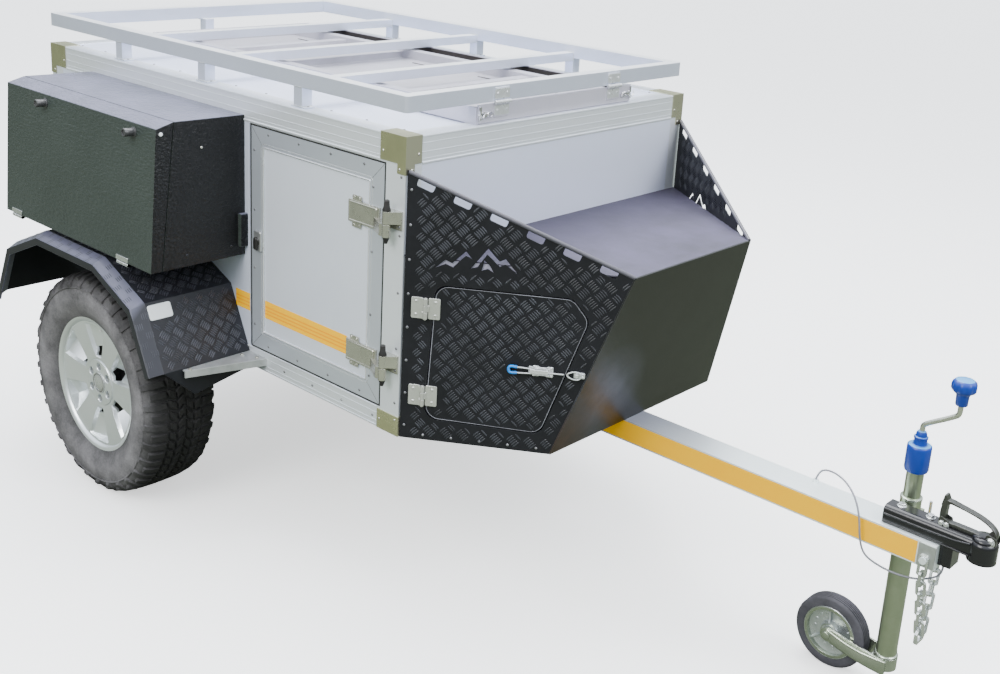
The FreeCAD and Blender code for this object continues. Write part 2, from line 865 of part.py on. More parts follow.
def strap_bracket():
    """Fixed half of a strap hinge: a plate on the post, a web, the upper barrel and the pin."""
    face = pin_out
    outer = face - strap_thickness
    foot = block(-bracket_back, bracket_fore, outer, face, -bracket_below, bracket_above)
    web = plate([at(-strap_barrel_radius, outer, barrel_split), at(bracket_fore, outer, barrel_split),
                 at(strap_barrel_radius, 0, barrel_split), at(0, -strap_thickness, barrel_split),
                 at(-strap_barrel_radius, 0, barrel_split)],
                upward, bracket_above - barrel_split)
    barrel = rod(at(0, 0, barrel_split), upward, strap_barrel_radius, bracket_above - barrel_split)
    pin = rod(at(0, 0, -pin_below), upward, pin_radius, pin_below + pin_above)
    return joined(foot, web, barrel, pin)


def on_side(piece, z):
    """Hinge piece placed at the right side door's pin."""
    return piece.translated(at(side_pin_x, -side_pin_y, z))


def on_rear(piece, z):
    """Hinge piece placed at the rear door's pin, on the left rear post."""
    return mirrored(piece).rotated(origin, upward, 90).translated(at(rear_pin_x, rear_pin_y, z))


def latch_body(length, height):
    """Square latch with bevelled edges, its back on y = 0."""
    base = block(0, length, -latch_proud, 0, 0, height)
    front = [e for e in base.Edges if e.CenterOfMass.y < -latch_proud + touch_gap]
    return base.makeChamfer(latch_proud / 3, front)


def side_door():
    """Right side door with its latch."""
    slab = door_slab(side_door_length, door_top - door_bottom)
    slab.translate(at(door_rear, -body_half_width, door_bottom))
    latch = latch_body(latch_length, latch_height)
    latch.translate(at(door_rear + latch_inset, -body_half_width, latch_centre_z - latch_height / 2))
    return joined(slab, latch)


def rear_door():
    """Full-width rear door, hinged on the left, with its latch on the right."""
    slab = door_slab(2 * rear_door_half, door_top - door_bottom)
    latch = latch_body(latch_length, latch_height)
    latch.translate(at(2 * rear_door_half - latch_inset - latch_length, 0,
                       latch_centre_z - door_bottom - latch_height / 2))
    door = joined(slab, latch)
    return door.rotated(origin, upward, -90).translated(at(body_rear, rear_door_half, door_bottom))


# small butt hinges, with their pin along z and its middle at the origin

def fixed_knuckles():
    """Two outer knuckles with the pin."""
    inner = knuckle_length / 2 + knuckle_gap
    low = rod(at(0, 0, -inner - knuckle_length), upward, knuckle_radius, knuckle_length)
    high = rod(at(0, 0, inner), upward, knuckle_radius, knuckle_length)
    pin = rod(at(0, 0, -inner - knuckle_length), upward, knuckle_pin_radius, 2 * (inner + knuckle_length))
    return joined(low, high, pin)


def moving_knuckle():
    """Middle knuckle, bored for the pin, with no leaf yet."""
    return rod(at(0, 0, -knuckle_length / 2), upward, knuckle_radius, knuckle_length)


def knuckle_bore():
    """Hole for the pin through a moving knuckle and what is joined to it."""
    return rod(at(0, 0, -knuckle_length), upward, knuckle_pin_radius + running_clearance, 2 * knuckle_length)


# nose box; u runs forward along the right wing plate from the box

def wing_point(u, z, depth=0):
    """Point of the right wing's outer face, or behind it by a depth."""
    x = body_front + u * math.cos(wing_angle) - depth * math.sin(wing_angle)
    y = -body_half_width + u * math.sin(wing_angle) + depth * math.cos(wing_angle)
    return at(x, y, z)


wing_inward = at(-math.sin(wing_angle), math.cos(wing_angle), 0)


def half_width_at(x):
    """Half width of the nose box at a place along x."""
    return body_half_width - (x - body_front) * nose_taper / nose_run


def wing_outline():
    """Corners (u, z) of the wing plate, from its rear foot round to its rear top."""
    front_u = wing_length
    floor_u = wing_length * (nose_floor_x - body_front) / nose_run
    start = (nose_rear_gap + nose_plate * math.sin(wing_angle)) / math.cos(wing_angle)
    return [(start, body_bottom), (floor_u, body_bottom), (front_u, nose_deck_z), (start, nose_wing_top)]


def hatch_outline(margin):
    """Hatch corners (u, z), larger all round by a margin."""
    points = [(u * wing_length, body_bottom + z * wing_height) for u, z in zip(hatch_u_share, hatch_z_share)]
    loop = grown([*points, points[0]], margin)
    return loop[:-1]


def hatch_plate(margin, extra):
    """Hatch-shaped plate on the wing, with round corners."""
    points = [wing_point(u, z, -extra) for u, z in hatch_outline(margin)]
    return rounded(plate(points, wing_inward, nose_plate + 2 * extra), wing_inward, hatch_corner_radius)


def edge_z(u):
    """Height of the wing's top edge at a place along it."""
    return nose_wing_top - u / wing_length * (nose_wing_top - nose_deck_z)


def edge_slots():
    """Lightening slots under the wing's top edge, square at the top and round below."""
    slope = math.atan2(nose_wing_top - nose_deck_z, wing_length)
    slots = []
    for i in range(slot_count):
        share = slot_first_share + (slot_last_share - slot_first_share) * i / (slot_count - 1)
        u = share * wing_length
        top = edge_z(u) - slot_below_edge / 2
        corners = []
        for along, down in ((-1, 0), (1, 0), (1, 1), (-1, 1)):
            du = along * slot_length / 2 * math.cos(slope) - down * slot_width * math.sin(slope)
            dz = -along * slot_length / 2 * math.sin(slope) - down * slot_width * math.cos(slope)
            corners.append(wing_point(u + du, top + dz, -overrun))
        solid = plate(corners, wing_inward, nose_plate + 2 * overrun)
        low = [e for e in solid.Edges if abs(e.tangentAt(e.FirstParameter).dot(wing_inward)) > 0.999]
        low.sort(key=lambda e: (e.CenterOfMass - wing_point(u, top)).Length)
        slots.append(solid.makeFillet(slot_width / 3, low[2:]))
    return slots


def ridge_cuts():
    """Line of hills, cut through as three slivers."""
    start_u = ridge_start_share * wing_length
    start_z = body_bottom + max(hatch_z_share) * wing_height + ridge_above_hatch
    length = ridge_length_share * wing_length
    cuts = []
    for shares in (near_hill_shares, main_hill_shares, low_hill_shares):
        points = [wing_point(start_u + a * length, start_z + b * ridge_height, -overrun)
                  for a, b in shares]
        cuts.append(plate(points, wing_inward, nose_plate + 2 * overrun))
    return cuts


def wing_hinge_place(z):
    """Middle of a hatch hinge's pin."""
    return wing_point(hatch_hinge_u, z, -knuckle_radius - knuckle_lift)


def wing_leaf(u0, u1, z, height):
    """Hinge leaf on the wing's outer face."""
    return plate(wing_rectangle(u0, u1, z - height / 2, z + height / 2), -wing_inward, leaf_gauge)


def wing_rectangle(u0, u1, z0, z1, lift=0):
    """Corners of a rectangle on the wing's outer face, or lifted off it."""
    return [wing_point(u0, z0, -lift), wing_point(u1, z0, -lift), wing_point(u1, z1, -lift),
            wing_point(u0, z1, -lift)]


def knuckle_bridge(u0, u1, z, height):
    """Root of a hinge leaf, from the wing's face up to the pin's height."""
    points = wing_rectangle(u0, u1, z - height / 2, z + height / 2, leaf_gauge / 2)
    return plate(points, -wing_inward, knuckle_radius)


def nose_wing():
    """Wing plate with hatch opening, slots and cut-out, and the fixed halves of the hatch hinges."""
    points = [wing_point(u, z) for u, z in wing_outline()]
    body = plate(points, wing_inward, nose_plate)
    body = body.cut([hatch_plate(hatch_gap, overrun), *edge_slots(), *ridge_cuts()])
    total = 3 * knuckle_length + 2 * knuckle_gap
    pieces = []
    for z in hatch_hinge_places:
        pieces.append(fixed_knuckles().translated(wing_hinge_place(z)))
        inner = hatch_hinge_u - knuckle_radius - 2 * knuckle_lift
        pieces.append(wing_leaf(hatch_hinge_u - hatch_hinge_leaf, inner, z, total))
        for end in (-1, 1):
            middle = z + end * (knuckle_length + knuckle_gap)
            pieces.append(wing_leaf(inner - knuckle_lift, hatch_hinge_u - knuckle_lift, middle,
                                    knuckle_length))
            pieces.append(knuckle_bridge(hatch_hinge_u - knuckle_radius, hatch_hinge_u - knuckle_lift,
                                         middle, knuckle_length))
    half = hatch_latch_height / 3
    catch = wing_rectangle(catch_u, catch_u + catch_length, hatch_latch_z - half, hatch_latch_z + half)
    pieces.append(plate(catch, -wing_inward, hatch_latch_proud / 2))
    return joined(body, *pieces)


def nose_hatch():
    """Hatch with the moving halves of its hinges and its toggle latch."""
    pieces = []
    bores = []
    leaf_height = knuckle_length
    total = 3 * knuckle_length + 2 * knuckle_gap
    for z in hatch_hinge_places:
        place = wing_hinge_place(z)
        pieces.append(moving_knuckle().translated(place))
        inner = hatch_hinge_u + knuckle_radius + 2 * knuckle_lift
        pieces.append(wing_leaf(inner, hatch_hinge_u + hatch_hinge_leaf, z, total))
        pieces.append(wing_leaf(hatch_hinge_u + knuckle_lift, inner + knuckle_lift, z, leaf_height))
        pieces.append(knuckle_bridge(hatch_hinge_u + knuckle_lift, hatch_hinge_u + knuckle_radius, z,
                                     leaf_height))
        bores.append(knuckle_bore().translated(place))
    half = hatch_latch_height / 2
    reach = hatch_latch_length / 2
    base = wing_rectangle(hatch_latch_u - reach, hatch_latch_u + reach, hatch_latch_z - half,
                          hatch_latch_z + half)
    pieces.append(plate(base, -wing_inward, hatch_latch_proud))
    return joined(hatch_plate(0, 0), *pieces).cut(bores)


def nose_deck():
    """Level top of the nose box, between the wings."""
    inner = nose_plate / math.cos(wing_angle)
    rear = half_width_at(body_front) - inner
    edge = nose_front_x - nose_plate * math.tan(nose_rake)
    front = half_width_at(edge) - inner
    points = [at(body_front, -rear, nose_deck_z), at(edge, -front, nose_deck_z),
              at(edge, front, nose_deck_z), at(body_front, rear, nose_deck_z)]
    return plate(points, -upward, nose_plate)


def nose_floor():
    """Floor of the nose box, between the wings."""
    inner = nose_plate / math.cos(wing_angle)
    edge = body_front + plate_gauge
    rear = half_width_at(edge) - inner
    front = half_width_at(nose_floor_x) - inner
    points = [at(edge, -rear, body_bottom), at(nose_floor_x, -front, body_bottom),
              at(nose_floor_x, front, body_bottom), at(edge, rear, body_bottom)]
    return plate(points, upward, nose_plate)


def nose_front_panel():
    """Raked front of the nose box, in front of the wings' edges."""
    way = at(math.cos(nose_rake), 0, -math.sin(nose_rake))
    lift = nose_plate * math.sin(nose_rake)
    foot_x = nose_floor_x + lift * math.tan(nose_rake)
    top = half_width_at(nose_front_x)
    low = half_width_at(foot_x)
    points = [at(foot_x, -low, body_bottom + lift), at(nose_front_x, -top, nose_deck_z),
              at(nose_front_x, top, nose_deck_z), at(foot_x, low, body_bottom + lift)]
    return plate(points, way, nose_plate)


# roof rack, table and flap

post_lines = [crossbar_middle_x + i * crossbar_spacing for i in (-1, 0, 1)]


def rack_frame():
    """Rail round the rack."""
    outer = block(rack_rear, rack_front, -rack_half_width, rack_half_width, rack_bottom, rack_top)
    outer = rounded(outer, upward, rack_corner_radius)
    edge = rack_half_width - rack_rail_width
    inner = block(rack_rear + rack_rail_width, rack_front - rack_rail_width, -edge, edge,
                  rack_bottom - overrun, rack_top + overrun)
    body = outer.cut(inner)
    pieces = [flap_hinge(fixed_knuckles(), y) for y in (-flap_hinge_y, flap_hinge_y)]
    total = 3 * knuckle_length + 2 * knuckle_gap
    half = knuckle_length / 2
    for y in (-flap_hinge_y, flap_hinge_y):
        pieces.append(block(rack_front, rack_front + leaf_gauge, y - total / 2, y + total / 2,
                            flap_pin_z + knuckle_radius + 2 * knuckle_lift, rack_bottom + flap_leaf_width))
        for end in (-1, 1):
            middle = y + end * (knuckle_length + knuckle_gap)
            pieces.append(block(rack_front, flap_pin_x, middle - half, middle + half,
                                flap_pin_z + knuckle_lift, flap_pin_z + knuckle_radius))
    return joined(body, *pieces)


flap_pin_x = rack_front + knuckle_radius + knuckle_lift
flap_pin_z = rack_bottom - flap_pin_below_rail


def flap_hinge(piece, y):
    """Small hinge piece laid along y at the flap's pin."""
    return piece.rotated(origin, forward, 90).translated(at(flap_pin_x, y, flap_pin_z))


def rack_crossbars():
    """Bars across the rack, butted to the side rails."""
    inner = rack_half_width - rack_rail_width
    half = crossbar_width / 2
    return [block(x - half, x + half, -inner, inner, crossbar_top - crossbar_height, crossbar_top)
            for x in post_lines]


def rack_post(x, y):
    """Short square post with a foot plate on the roof frame."""
    half = post_size / 2
    foot = post_foot / 2
    shaft = block(x - half, x + half, y - half, y + half, body_top, rack_bottom)
    base = block(x - foot, x + foot, y - half, y + half, body_top, body_top + post_foot_thickness)
    return joined(shaft, base)


def rack_posts():
    """Three posts under each side rail and one under the rear rail."""
    y = rack_half_width - rack_rail_width / 2
    posts = [rack_post(x, side * y) for x in post_lines for side in (-1, 1)]
    half = post_size / 2
    x = body_rear + ring_width / 2
    shaft = block(x - half, x + half, -half, half, body_top, rack_bottom)
    foot = block(x - half, x + half, -post_foot / 2, post_foot / 2, body_top, body_top + post_foot_thickness)
    arm = block(rack_rear + post_foot_thickness, x + half, -half, half, rack_bottom - post_foot_thickness,
                rack_bottom)
    return [*posts, joined(shaft, foot, arm)]


def table_tray():
    """Shallow tray on the roof, open at the front."""
    front = rack_front - flap_gauge
    outer = block(tray_rear, front, -tray_half_width, tray_half_width, body_top, tray_top)
    inner = block(tray_rear + tray_gauge, front + overrun, -tray_half_width + tray_gauge,
                  tray_half_width - tray_gauge, body_top + tray_gauge, tray_top + overrun)
    return outer.cut(inner)


def stowed_table():
    """Folding table lying in the tray: a panel under a frame with cross members."""
    x0 = tray_rear + table_rear_gap
    x1 = rack_front - flap_gauge - table_front_gap
    panel = block(x0, x1, table_right, table_left, body_top + tray_gauge, table_bottom + table_panel)
    frame = block(x0, x1, table_right, table_left, table_bottom, table_top)
    pocket = block(x0 + table_bar, x1 - table_bar, table_right + table_bar, table_left - table_bar,
                   table_bottom + table_panel, table_top + overrun)
    pieces = [panel, frame.cut(pocket)]
    step = (x1 - x0 - table_bar) / (table_bar_count + 1)
    for i in range(table_bar_count):
        x = x0 + step * (i + 1)
        pieces.append(block(x, x + table_bar, table_right, table_left, table_bottom,
                            table_top - table_panel))
    return joined(*pieces)


def table_flap():
    """Flap that closes the tray's front, hung from the rack's front rail."""
    edge = tray_half_width - flap_end_gap
    top = rack_bottom - flap_top_below_rail
    body = block(rack_front - flap_gauge, rack_front, -edge, edge, body_top + flap_bottom_gap, top)
    pieces = []
    bores = []
    total = 3 * knuckle_length + 2 * knuckle_gap
    half = knuckle_length / 2
    for y in (-flap_hinge_y, flap_hinge_y):
        pieces.append(flap_hinge(moving_knuckle(), y))
        pieces.append(block(rack_front, rack_front + leaf_gauge, y - total / 2, y + total / 2,
                            top - flap_leaf_width, flap_pin_z - knuckle_radius - knuckle_lift))
        pieces.append(block(rack_front, rack_front + knuckle_radius, y - half, y + half,
                            flap_pin_z - knuckle_radius - 2 * knuckle_lift, flap_pin_z - 2 * knuckle_lift))
        bores.append(flap_hinge(knuckle_bore(), y))
    return joined(body, *pieces).cut(bores)


# fenders

def fender_chain():
    """Corner points (x, z) of the fender's outer surface, from the rear foot over the top to the front."""
    halves = ((fender_end_half, fender_end_z), (fender_shoulder_half, fender_shoulder_z),
              (fender_top_half, fender_top_z))
    rear = [(fender_centre_x - h, z) for h, z in halves]
    front = [(fender_centre_x + h, z) for h, z in reversed(halves)]
    return [*rear, *front]


def fender_band(y, inset, depth):
    """Closed wire at one y: the fender's line moved inwards by an inset, and again by a depth."""
    outer = grown(fender_chain(), -inset)
    inner = grown(fender_chain(), -inset - depth)
    points = [at(x, y, z) for x, z in [*outer, *reversed(inner)]]
    return Part.makePolygon([*points, points[0]])


def fender():
    """Folded fender: arch, sloping outer lip with an edge, and the apron under its front."""
    arch = Part.Face(fender_band(-body_half_width, 0, fender_gauge)).extrude(
        right_way * (fender_edge - body_half_width))
    lip_y = -fender_edge - fender_lip_out
    bands = [fender_band(-fender_edge, 0, fender_gauge), fender_band(lip_y, fender_lip_drop, fender_gauge)]
    lip = Part.makeLoft(bands, True, True)
    rim = Part.Face(fender_band(lip_y, fender_lip_drop, fender_lip_height))
    edge = rim.extrude(right_way * fender_gauge)
    x = fender_centre_x + fender_end_half
    tip_y = fender_edge - apron_cut_back
    apron = plate([at(x, -body_half_width, fender_end_z),
                   at(x, -body_half_width, fender_end_z - apron_inner_depth),
                   at(x, -tip_y, fender_end_z - apron_tip_depth), at(x, -fender_edge, fender_end_z)],
                  -forward, fender_gauge)
    return joined(arch, lip, edge, apron)


def fender_stay():
    """Gusset plate from the box to the fender's front foot, with a folded edge."""
    x = fender_centre_x + fender_end_half
    top = fender_end_z - stay_below_fold
    rear = -body_half_width
    flat = plate([at(x, rear, top), at(x + stay_length, rear, top),
                  at(x + stay_tip, rear - stay_reach, top), at(x, rear - stay_reach, top)],
                 -upward, stay_gauge)
    fold = plate([at(x + stay_length, rear, top), at(x + stay_tip, rear - stay_reach, top),
                  at(x + stay_tip, rear - stay_reach, top - stay_return),
                  at(x + stay_length, rear, top - stay_return)], -forward, stay_gauge)
    return joined(flat, fold)


# side boxes

def side_section(points, x0, x1):
    """Outline of (y out from the middle, z) at the right side, run along x."""
    corners = [at(x0, -y, z) for y, z in points]
    return plate(corners, forward, x1 - x0)


def split_y(z, offset=0):
    """Distance out of the seam between the side box and its door at a height."""
    share = (z - side_box_bottom) / (side_box_fold_z - side_box_bottom)
    return side_box_split_y + share * (side_box_fold_y - side_box_split_y) + offset


def side_box():
    """Box shell, open outwards, with a pull tab on its front end and the fixed hinge knuckles."""
    back = body_half_width
    outline = [(back, side_box_bottom), (back, side_box_inner_top),
               (split_y(side_box_fold_z), side_box_fold_z), (split_y(side_box_bottom), side_box_bottom)]
    body = side_section(outline, side_box_rear, side_box_front)
    w = side_box_wall
    inner = [(back + w, side_box_bottom + w), (back + w, side_box_inner_top - w),
             (split_y(side_box_fold_z) + overrun, side_box_fold_z - w),
             (split_y(side_box_bottom) + overrun, side_box_bottom + w)]
    body = body.cut(side_section(inner, side_box_rear + w, side_box_front - w))
    tab_low = side_box_bottom + end_tab_lift
    tab = block(side_box_front, side_box_front + end_tab_length, -back - end_tab_out, -back,
                tab_low, tab_low + end_tab_height)
    tab = rounded(tab, left_way, end_tab_length / 3)
    pieces = [tab]
    for x in side_hinge_places:
        pieces.append(along_x(fixed_knuckles(), x))
        for end in (-1, 1):
            middle = x + end * (knuckle_length + knuckle_gap)
            x0 = middle - knuckle_length / 2
            reach = side_box_split_y - side_box_seam
            pieces.append(block(x0, x0 + knuckle_length, -side_hinge_pin_y, -reach + side_hinge_tab,
                                side_pin_z - knuckle_radius / 2, side_pin_z + knuckle_radius / 2))
            pieces.append(block(x0, x0 + knuckle_length, -reach, -reach + side_hinge_tab,
                                side_pin_z - knuckle_radius / 2, side_box_bottom))
    return joined(body, *pieces)


def along_x(piece, x):
    """Small hinge piece laid along x at the side box door's pin."""
    return piece.rotated(origin, left_way, 90).translated(at(x, -side_hinge_pin_y, side_pin_z))


def side_box_door():
    """Drop-down pan door: face, sloping top strip and returns, with turn latches and hinge knuckles."""
    low = side_box_bottom
    top = side_box_fold_z
    outline = [(split_y(low, side_box_seam), low), (split_y(top, side_box_seam), top),
               (side_box_face_top_y, side_box_face_top_z), (side_box_face_bottom_y, low)]
    body = side_section(outline, side_box_rear, side_box_front)
    g = side_door_gauge
    drop = top - side_box_face_top_z
    inner = [(split_y(low, -overrun), low + g), (split_y(top, -overrun), top - g - drop / 4),
             (side_box_face_top_y - g, side_box_face_top_z - g), (side_box_face_bottom_y - g, low + g)]
    body = body.cut(side_section(inner, side_box_rear + g, side_box_front - g))
    pieces = []
    bores = []
    lean = (side_box_face_bottom_y - side_box_face_top_y) / (side_box_face_top_z - low)
    face_y = side_box_face_bottom_y - lean * (turn_latch_z - low)
    for x in turn_latch_places:
        start = at(x, -face_y + turn_latch_radius / 2, turn_latch_z)
        pieces.append(rod(start, right_way, turn_latch_radius, turn_latch_proud + turn_latch_radius / 2))
    for x in side_hinge_places:
        pieces.append(along_x(moving_knuckle(), x))
        pieces.append(block(x - knuckle_length / 2, x + knuckle_length / 2, -side_box_face_bottom_y,
                            -side_hinge_pin_y + knuckle_radius, side_pin_z, low + g))
        bores.append(along_x(knuckle_bore(), x))
    return joined(body, *pieces).cut(bores)


# coupler

def coupler_body():
    """Pressed coupler on the drawbar: channel, neck, ball socket and the tongue over the drawbar's end."""
    top = rail_top + coupler_height
    channel = block(coupler_rear, socket_x, -coupler_half_width, coupler_half_width, rail_top, top)
    upper = [e for e in channel.Edges if e.CenterOfMass.z > top - touch_gap and abs(
        e.tangentAt(e.FirstParameter).dot(forward)) > 0.999]
    channel = channel.makeFillet(coupler_half_width / 2, upper)
    socket = rod(at(socket_x, 0, socket_bottom), upward, socket_outer_radius, top - socket_bottom)
    rim_edges = [e for e in socket.Edges if e.CenterOfMass.z > top - touch_gap]
    socket = socket.makeFillet(coupler_half_width / 2, rim_edges)
    tongue = block(drawbar_end, drawbar_end + coupler_tongue_length, -coupler_tongue_half_width,
                   coupler_tongue_half_width, rail_top - coupler_tongue_drop, rail_top)
    ball_z = socket_bottom + socket_straight
    mouth = at(socket_x, 0, socket_bottom - overrun)
    hollow = [rod(mouth, upward, socket_radius, socket_straight + overrun),
              Part.makeSphere(socket_radius, at(socket_x, 0, ball_z))]
    return joined(channel, socket, tongue).cut(hollow)


def coupler_handle():
    """Lever with an open loop over the coupler."""
    root_z = rail_top + handle_root_above_rail
    chain = [(handle_root_x + a * handle_length, root_z + b * handle_height)
             for a, b in zip(handle_u_share, handle_z_share)]
    inner = grown([*chain, chain[0]], -handle_bar)[:-1]
    outer = plate([at(x, -handle_half_width, z) for x, z in chain], left_way, 2 * handle_half_width)
    hole = plate([at(x, -handle_half_width - overrun, z) for x, z in inner], left_way,
                 2 * (handle_half_width + overrun))
    return outer.cut(hole)


# jockey wheel

def jockey_at(z):
    """Point of the jockey leg's axis."""
    return at(jockey_x, jockey_y, z)


def jockey_clamp():
    """Clamp on the drawbar's left side, with its two ears."""
    bore = jockey_tube_radius + running_clearance
    radius = bore + clamp_wall
    ring_body = rod(jockey_at(clamp_bottom), upward, radius, clamp_height)
    foot = block(jockey_x - radius, jockey_x + radius, drawbar_half_width, jockey_y, clamp_bottom,
                 clamp_bottom + clamp_height)
    ears = block(jockey_x - clamp_ear_thickness, jockey_x + clamp_ear_thickness, jockey_y,
                 jockey_y + radius + clamp_ear, clamp_bottom, clamp_bottom + clamp_height)
    low = clamp_bottom - overrun
    high = clamp_bottom + clamp_height + overrun
    slit = block(jockey_x - clamp_slit / 2, jockey_x + clamp_slit / 2, jockey_y,
                 jockey_y + radius + clamp_ear + overrun, low, high)
    inside = block(jockey_x - radius, jockey_x + radius, 0, drawbar_half_width, low, high)
    hole = rod(jockey_at(low), upward, bore, high - low)
    return joined(ring_body, foot, ears).cut([hole, slit, inside])


def jockey_leg():
    """Round leg: the wide tube down to the fork and the narrow one up to the grip."""
    wide = rod(jockey_at(jockey_tube_bottom), upward, jockey_tube_radius,
               jockey_tube_top - jockey_tube_bottom)
    narrow = rod(jockey_at(jockey_tube_top), upward, jockey_inner_radius, jockey_inner_length)
    bore = rod(jockey_at(jockey_tube_bottom - overrun), upward, jockey_spigot_radius + running_clearance,
               jockey_spigot_length + spigot_end_gap + overrun)
    return joined(wide, narrow).cut(bore)


def round_form(shares, radius, height, foot):
    """Solid turned about an upright axis, from shares of its height and radius."""
    points = [at(radius * r, 0, height * z) for z, r in shares]
    outline = [at(0, 0, 0), *points, at(0, 0, height)]
    form = Part.Face(Part.makePolygon([*outline, outline[0]])).revolve(origin, upward, 360)
    return form.translated(foot)


def jockey_grips():
    """Plastic housing on the leg's top and knob on the crank's end."""
    housing_shares = ((0.0, 0.86), (0.06, 1.0), (0.60, 1.0), (0.70, 0.92), (0.78, 0.54), (1.0, 0.48))
    housing = round_form(housing_shares, grip_radius, grip_length, jockey_at(jockey_inner_top))
    knob_shares = ((0.0, 0.46), (0.40, 0.50), (0.50, 0.94), (0.62, 1.0), (0.86, 0.97), (1.0, 0.78))
    foot = at(jockey_x + crank_arm_x, jockey_y, knob_bottom)
    knob = round_form(knob_shares, knob_radius, knob_height, foot)
    bore = rod(foot - upward * overrun, upward, crank_radius + running_clearance,
               knob_socket + overrun + running_clearance)
    return [housing, knob.cut(bore)]


def jockey_crank():
    """Crank rod from the housing's top, bent outwards and up into the knob."""
    low = jockey_at(crank_shaft_top)
    high = at(jockey_x + crank_arm_x, jockey_y, crank_arm_top)
    slope = high - low
    shaft = rod(jockey_at(grip_top), upward, crank_radius, crank_shaft_length)
    arm = rod(low, slope, crank_radius, slope.Length)
    tip = rod(high, upward, crank_radius, crank_tip_length)
    bends = [Part.makeSphere(crank_radius, low), Part.makeSphere(crank_radius, high)]
    return joined(shaft, arm, tip, *bends)


def jockey_fork():
    """Swivel head with its spigot, two arms back to the wheel and the axle bolt."""
    head = rod(jockey_at(fork_head_bottom), upward, fork_head_radius, jockey_tube_bottom - fork_head_bottom)
    spigot = rod(jockey_at(jockey_tube_bottom), upward, jockey_spigot_radius, jockey_spigot_length)
    inner = jockey_wheel_width / 2 + fork_side_gap
    pieces = [head, spigot]
    for side in (-1, 1):
        face = jockey_y + side * inner
        eye = rod(at(jockey_axle_x, face, jockey_wheel_radius), left_way * side, fork_eye_radius, fork_plate)
        arm = plate([at(jockey_axle_x, face, jockey_wheel_radius + fork_eye_radius),
                     at(jockey_x + fork_head_radius / 2, face, jockey_tube_bottom - fork_plate),
                     at(jockey_x + fork_head_radius / 2, face, fork_head_bottom),
                     at(jockey_x - fork_head_radius, face, fork_head_bottom - fork_plate),
                     at(jockey_axle_x, face, jockey_wheel_radius - fork_eye_radius)],
                    left_way * side, fork_plate)
        bolt = rod(at(jockey_axle_x, face + side * fork_plate, jockey_wheel_radius), left_way * side,
                   jockey_axle_head, fork_plate)
        pieces += [eye, arm, bolt]
    reach = inner + fork_plate
    bridge = block(jockey_x - fork_head_radius, jockey_x + fork_head_radius / 2, jockey_y - reach,
                   jockey_y + reach, fork_head_bottom, jockey_tube_bottom - fork_plate)
    axle = rod(at(jockey_axle_x, jockey_y - reach, jockey_wheel_radius), left_way, jockey_axle_radius,
               2 * reach)
    return joined(*pieces, bridge, axle)


def jockey_wheel():
    """Wheel disc: rim, thin web and boss on the axle bolt."""
    half = jockey_wheel_width / 2
    bore = jockey_axle_radius + running_clearance
    edge = jockey_hub_radius - touch_gap
    rim_wall = jockey_web
    profile = [(bore, -half), (jockey_hub_boss, -half), (jockey_hub_boss, -jockey_web / 2),
               (edge - rim_wall, -jockey_web / 2), (edge - rim_wall, -half), (edge, -half), (edge, half),
               (edge - rim_wall, half), (edge - rim_wall, jockey_web / 2), (jockey_hub_boss, jockey_web / 2),
               (jockey_hub_boss, half), (bore, half)]
    return turned(profile, at(jockey_axle_x, jockey_y, jockey_wheel_radius))


def jockey_tyre():
    """Solid rubber tyre with bevelled edges, in flat facets."""
    half = jockey_wheel_width / 2
    depth = jockey_wheel_radius - jockey_hub_radius
    line = [(jockey_hub_radius, half), (jockey_wheel_radius - depth / 2, half),
            (jockey_wheel_radius - depth / 8, half * 3 / 4), (jockey_wheel_radius, half / 2)]
    outline = [*line, *[(r, -y) for r, y in reversed(line)]]
    facets = 36
    step = 2 * math.pi / facets
    spread = 1 / math.cos(step / 2)

    def corner(point, k):
        angle = (k - 1 / 2) * step - math.pi / 2
        radius = point[0] * spread
        return at(jockey_axle_x + radius * math.cos(angle), jockey_y + point[1],
                  jockey_wheel_radius + radius * math.sin(angle))

    faces = []
    for k in range(facets):
        for a, b in zip(outline, [*outline[1:], outline[0]]):
            faces.append([corner(a, k), corner(a, k + 1), corner(b, k + 1), corner(b, k)])
    return closed_solid(faces)


# safety chain and breakaway cable

def link(upper, lower, width, wire, way):
    """Chain link in eight flat sides; its inner ends lie at two points, and it is as thick as its wire."""
    along = (lower - upper).normalize()
    across = along.cross(way).normalize()
    length = (lower - upper).Length + chain_gap
    middle = (upper + lower) * (1 / 2)

    def ring_outline(reach, breadth):
        cut = link_corner_share * breadth
        quarter = [(reach, breadth - cut), (reach - cut, breadth)]
        half = [*quarter, *[(-a, b) for a, b in reversed(quarter)]]
        return [along * a + across * b for a, b in [*half, *[(a, -b) for a, b in reversed(half)]]]

    normal = across.cross(along)
    foot = middle - normal * (wire / 2)
    low = foot - normal * overrun
    outer = plate([foot + p for p in ring_outline(length / 2 + wire, width / 2)], normal, wire)
    hole = plate([low + p for p in ring_outline(length / 2, width / 2 - wire)], normal, wire + 2 * overrun)
    return outer.cut(hole)


